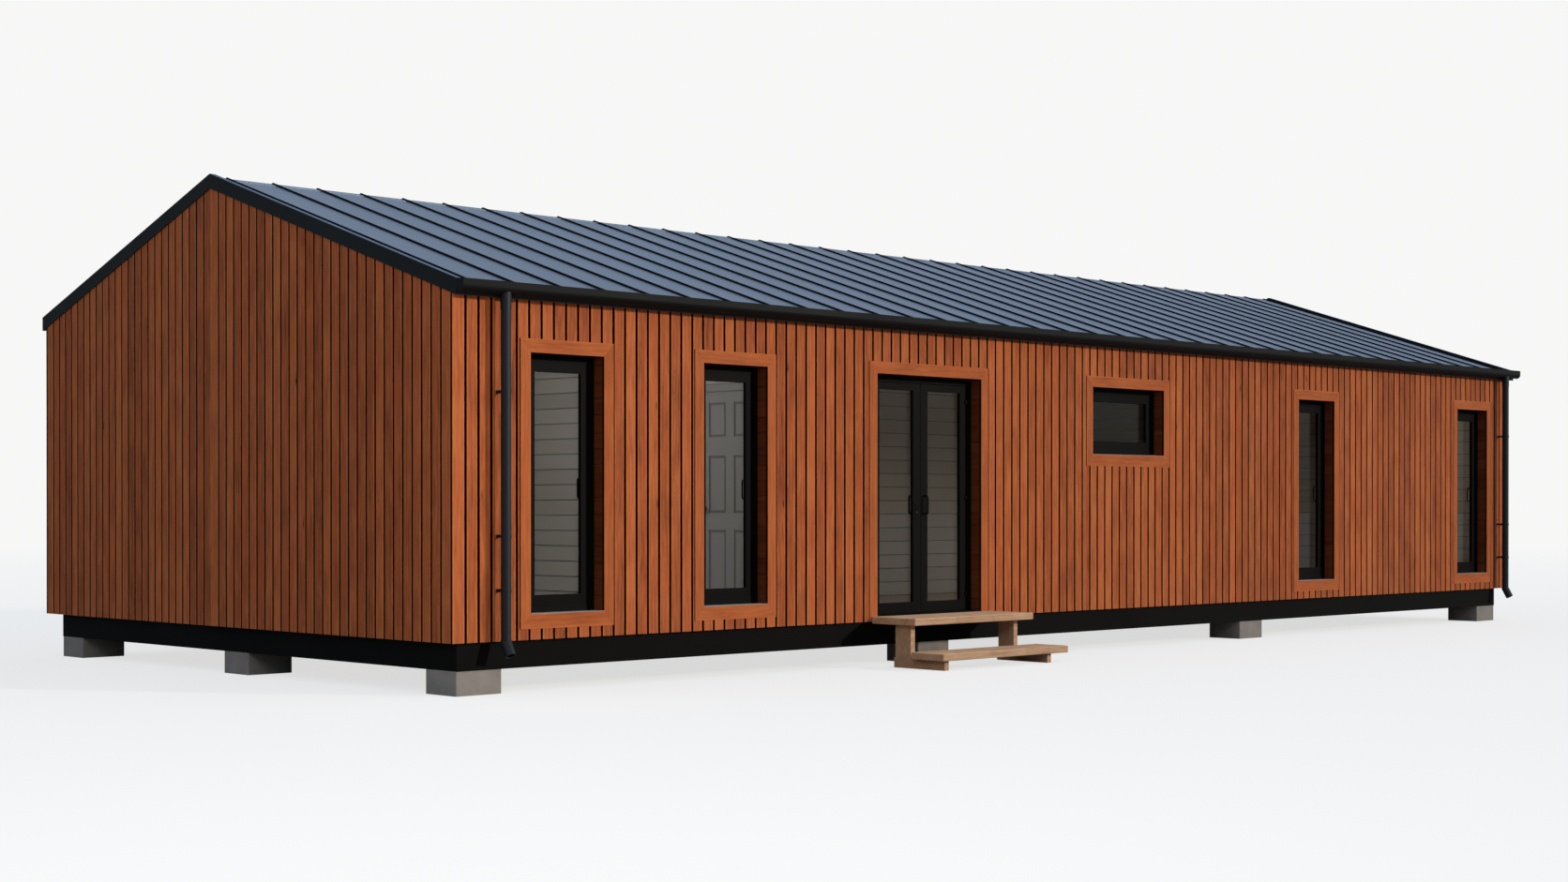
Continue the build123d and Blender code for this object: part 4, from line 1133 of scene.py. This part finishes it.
# Verge screws

def verge_screws(face_x, outwards):
    """Screw heads along the verge trim, evenly spaced down both slopes from the ridge."""
    made = []
    for end in (front_deck[0].y, back_deck[1].y):
        run = abs(end - ridge_y)
        count = int(run / screw_spacing)
        for number in range(count + 1):
            y = ridge_y + np.sign(end - ridge_y) * (first_screw + number * screw_spacing)
            place = (face_x, y, float(underside(y)) + deck_thickness)
            made.append(button(place, (outwards, 0, 0), (0, 1, 0), screw_radius, screw_height))
    return made


trim_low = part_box("left_verge_trim")[0].x
trim_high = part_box("right_verge_trim")[1].x
screws = verge_screws(trim_low, -1) + verge_screws(trim_high, 1)
make_piece("verge_screws", screws, trim_metal, smooth=True)


# Boards on the partition

def lining_levels(top, least):
    """Foot and head of each lining board from the floor up, while more than the least height is left."""
    level = floor_top
    while top - level > least:
        yield level + lining_joint / 2, min(level + lining_board, top) - lining_joint / 2
        level += lining_board


def partition_boards(face_x, outwards, doorway, crossing=None):
    """Level boards on one face of the partition, cut to the roof, round the doorway and at a wall."""
    made = []
    near = front_y + wall_depth
    far = back_y - wall_depth
    for foot, head in lining_levels(ridge_z, lining_board / 2):
        front_run = max(near, ridge_y - (ridge_z - foot) * front_slant)
        back_run = min(far, ridge_y + (ridge_z - foot) * back_slant)
        front_slope = 0.0 if front_run == near and float(underside(near)) > head else front_slant
        back_slope = 0.0 if back_run == far and float(underside(far)) > head else -back_slant
        runs = [(front_run, back_run, front_slope, back_slope)]
        if foot < doorway[3]:
            runs = [(front_run, doorway[0], front_slope, 0.0), (doorway[1], back_run, 0.0, back_slope)]
        tall = head - foot
        if crossing:
            start, end, start_slope, end_slope = runs.pop()
            runs.append((start, crossing[0], start_slope, 0.0))
            if start + start_slope * tall > crossing[1]:
                runs.append((max(start, crossing[1]), end, start_slope, end_slope))
            else:
                runs.append((crossing[1], end, 0.0, end_slope))
        for start, end, start_slope, end_slope in runs:
            along_head = end + end_slope * tall - start - start_slope * tall
            if min(end - start, along_head) > narrowest_strip:
                made.append(board(
                    (face_x, 0, foot), (0, 0, 1), (outwards, 0, 0), (0, 1, 0), tall, lining_thickness,
                    (start, end), slopes=(start_slope, end_slope),
                ))
    return made


def spine_boards(face_y, outwards):
    """Level boards on one face of the wall along the middle, up to the roof."""
    low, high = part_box("spine_wall")
    return [board(
        (0, face_y, foot), (0, 0, 1), (0, outwards, 0), (1, 0, 0), head - foot, lining_thickness,
        (low.x, high.x),
    ) for foot, head in lining_levels(float(underside(face_y)), lining_board / 3)]


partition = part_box("partition_back")
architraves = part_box("inner_door_frame")
doorway = (architraves[0].y, architraves[1].y, floor_top, architraves[1].z)
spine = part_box("spine_wall")
make_piece(
    "partition_boards",
    partition_boards(partition[0].x - lining_thickness, -1, doorway)
    + partition_boards(partition[1].x + lining_thickness, 1, doorway, (spine[0].y, spine[1].y)),
    lining_paint,
)
make_piece(
    "spine_wall_boards",
    spine_boards(spine[0].y - lining_thickness, -1) + spine_boards(spine[1].y + lining_thickness, 1),
    lining_paint,
)


# Stage, light and camera

def stage_floor():
    """A level round floor: rings whose points are a radius times the cosine and sine of their angle."""
    angle = np.linspace(0, 2 * np.pi, 64, endpoint=False)
    circle = np.stack([np.cos(angle), np.sin(angle), 0 * angle], -1)
    rings = np.array(floor_rings)[:, None, None] * circle
    points = np.concatenate([np.zeros((1, 3)), rings.reshape(-1, 3)])
    number = np.arange(1, len(points)).reshape(len(floor_rings), -1)
    following = np.roll(number, -1, 1)
    quads = np.stack([number[:-1], number[1:], following[1:], following[:-1]], -1).reshape(-1, 4)
    middle = np.stack([np.zeros(len(angle), int), number[0], following[0]], -1)
    mesh = bpy.data.meshes.new("studio_floor")
    mesh.from_pydata(points, [], quads.tolist() + middle.tolist())
    mesh.materials.append(floor_material())
    floor = put("studio_floor", mesh)


def floor_material():
    """Pale matt floor that fades into the pale background far out."""
    material = bpy.data.materials.new("studio_floor")
    material.use_nodes = True
    tree = material.node_tree
    tree.nodes.clear()
    matt = add(tree, "BsdfDiffuse", {"Color": floor_tone}).outputs[0]
    glow = add(tree, "Emission", {"Color": pale, "Strength": floor_glow}).outputs[0]
    near = add(tree, "AddShader", {0: matt, 1: glow}).outputs[0]
    far = add(tree, "Emission", {"Color": pale, "Strength": 1.0}).outputs[0]
    distance = add(tree, "VectorMath", {0: object_place(tree)}, operation="LENGTH")
    seen = mixed_shaders(spread(distance.outputs["Value"], *floor_fade), near, far)
    dull = add(tree, "BsdfDiffuse", {"Color": floor_bounce}).outputs[0]
    camera_ray = add(tree, "LightPath").outputs["Is Camera Ray"]
    out = add(tree, "OutputMaterial")
    join(mixed_shaders(camera_ray, dull, seen), out, "Surface")
    return material


def studio_sky():
    """A sky with its own colour at each height for the light, and one pale colour behind the part."""
    world = bpy.data.worlds.new("studio")
    bpy.context.scene.world = world
    world.use_nodes = True
    tree = world.node_tree
    tree.nodes.clear()
    height = axes(add(tree, "TexCoord").outputs["Generated"])[2]
    ramp = add(tree, "ValToRGB", {"Fac": height})
    while len(ramp.color_ramp.elements) < len(sky_stops):
        ramp.color_ramp.elements.new(0.5)
    for element, (position, colour) in zip(ramp.color_ramp.elements, sky_stops):
        element.position = position
        element.color = colour
    light = add(tree, "Background", {"Color": ramp.outputs["Color"], "Strength": 1.0}).outputs[0]
    plain = add(tree, "Background", {"Color": pale, "Strength": 1.0}).outputs[0]
    camera_ray = add(tree, "LightPath").outputs["Is Camera Ray"]
    out = add(tree, "OutputWorld")
    join(mixed_shaders(camera_ray, light, plain), out, "Surface")


def soft_lamp(name, place, turn, size, power, colour):
    """Soft rectangular lamp that lights the part but isn't seen itself."""
    made = bpy.data.lights.new(name, "AREA")
    made.shape = "RECTANGLE"
    made.size, made.size_y = size
    made.energy = power
    made.color = colour
    holder = put(name, made, place, turn)
    holder.visible_camera = False
    holder.visible_glossy = False
    holder.visible_transmission = False


stage_floor()
studio_sky()

sun = bpy.data.lights.new("key_light", "SUN")
sun.energy = sun_strength
sun.angle = math.radians(sun_width)
sun.color = sun_colour
put("key_light", sun, turn=(90 - sun_height, 0, sun_from_right))

soft_lamp(
    "near_fill", place=(-15.0, -12.2, 5.6), turn=(71, 0, -36.4), size=(5.0, 3.0), power=225,
    colour=(1.0, 0.95, 0.84),
)
soft_lamp(
    "corner_fill", place=(left_x + 0.1, front_y - 2.2, 2.3), turn=(90, 0, 0), size=(0.6, 2.2), power=7,
    colour=(1.0, 0.94, 0.86),
)
soft_lamp(
    "end_room_lamp", place=(left_x + 1.5, -0.9, 2.8), turn=(0, -50, 0), size=(1.0, 3.8), power=38,
    colour=(0.98, 0.97, 0.96),
)
soft_lamp(
    "main_room_lamp", place=(-0.4, front_y + 1.2, 3.0), turn=(-20, 0, 0), size=(6.0, 1.0), power=36,
    colour=warm_room_light,
)
soft_lamp(
    "right_room_lamp", place=(5.6, front_y + 1.2, 3.0), turn=(-20, 0, 0), size=(3.5, 1.0), power=18,
    colour=warm_room_light,
)

lens = bpy.data.cameras.new("camera")
lens.sensor_width = 36.0
lens.lens = camera_lens
lens.shift_y = camera_shift
lens.clip_end = 1000.0
bpy.context.scene.camera = put("camera", lens, camera_place, (camera_pitch, 0, camera_yaw))
bpy.context.scene.view_settings.view_transform = "Standard"
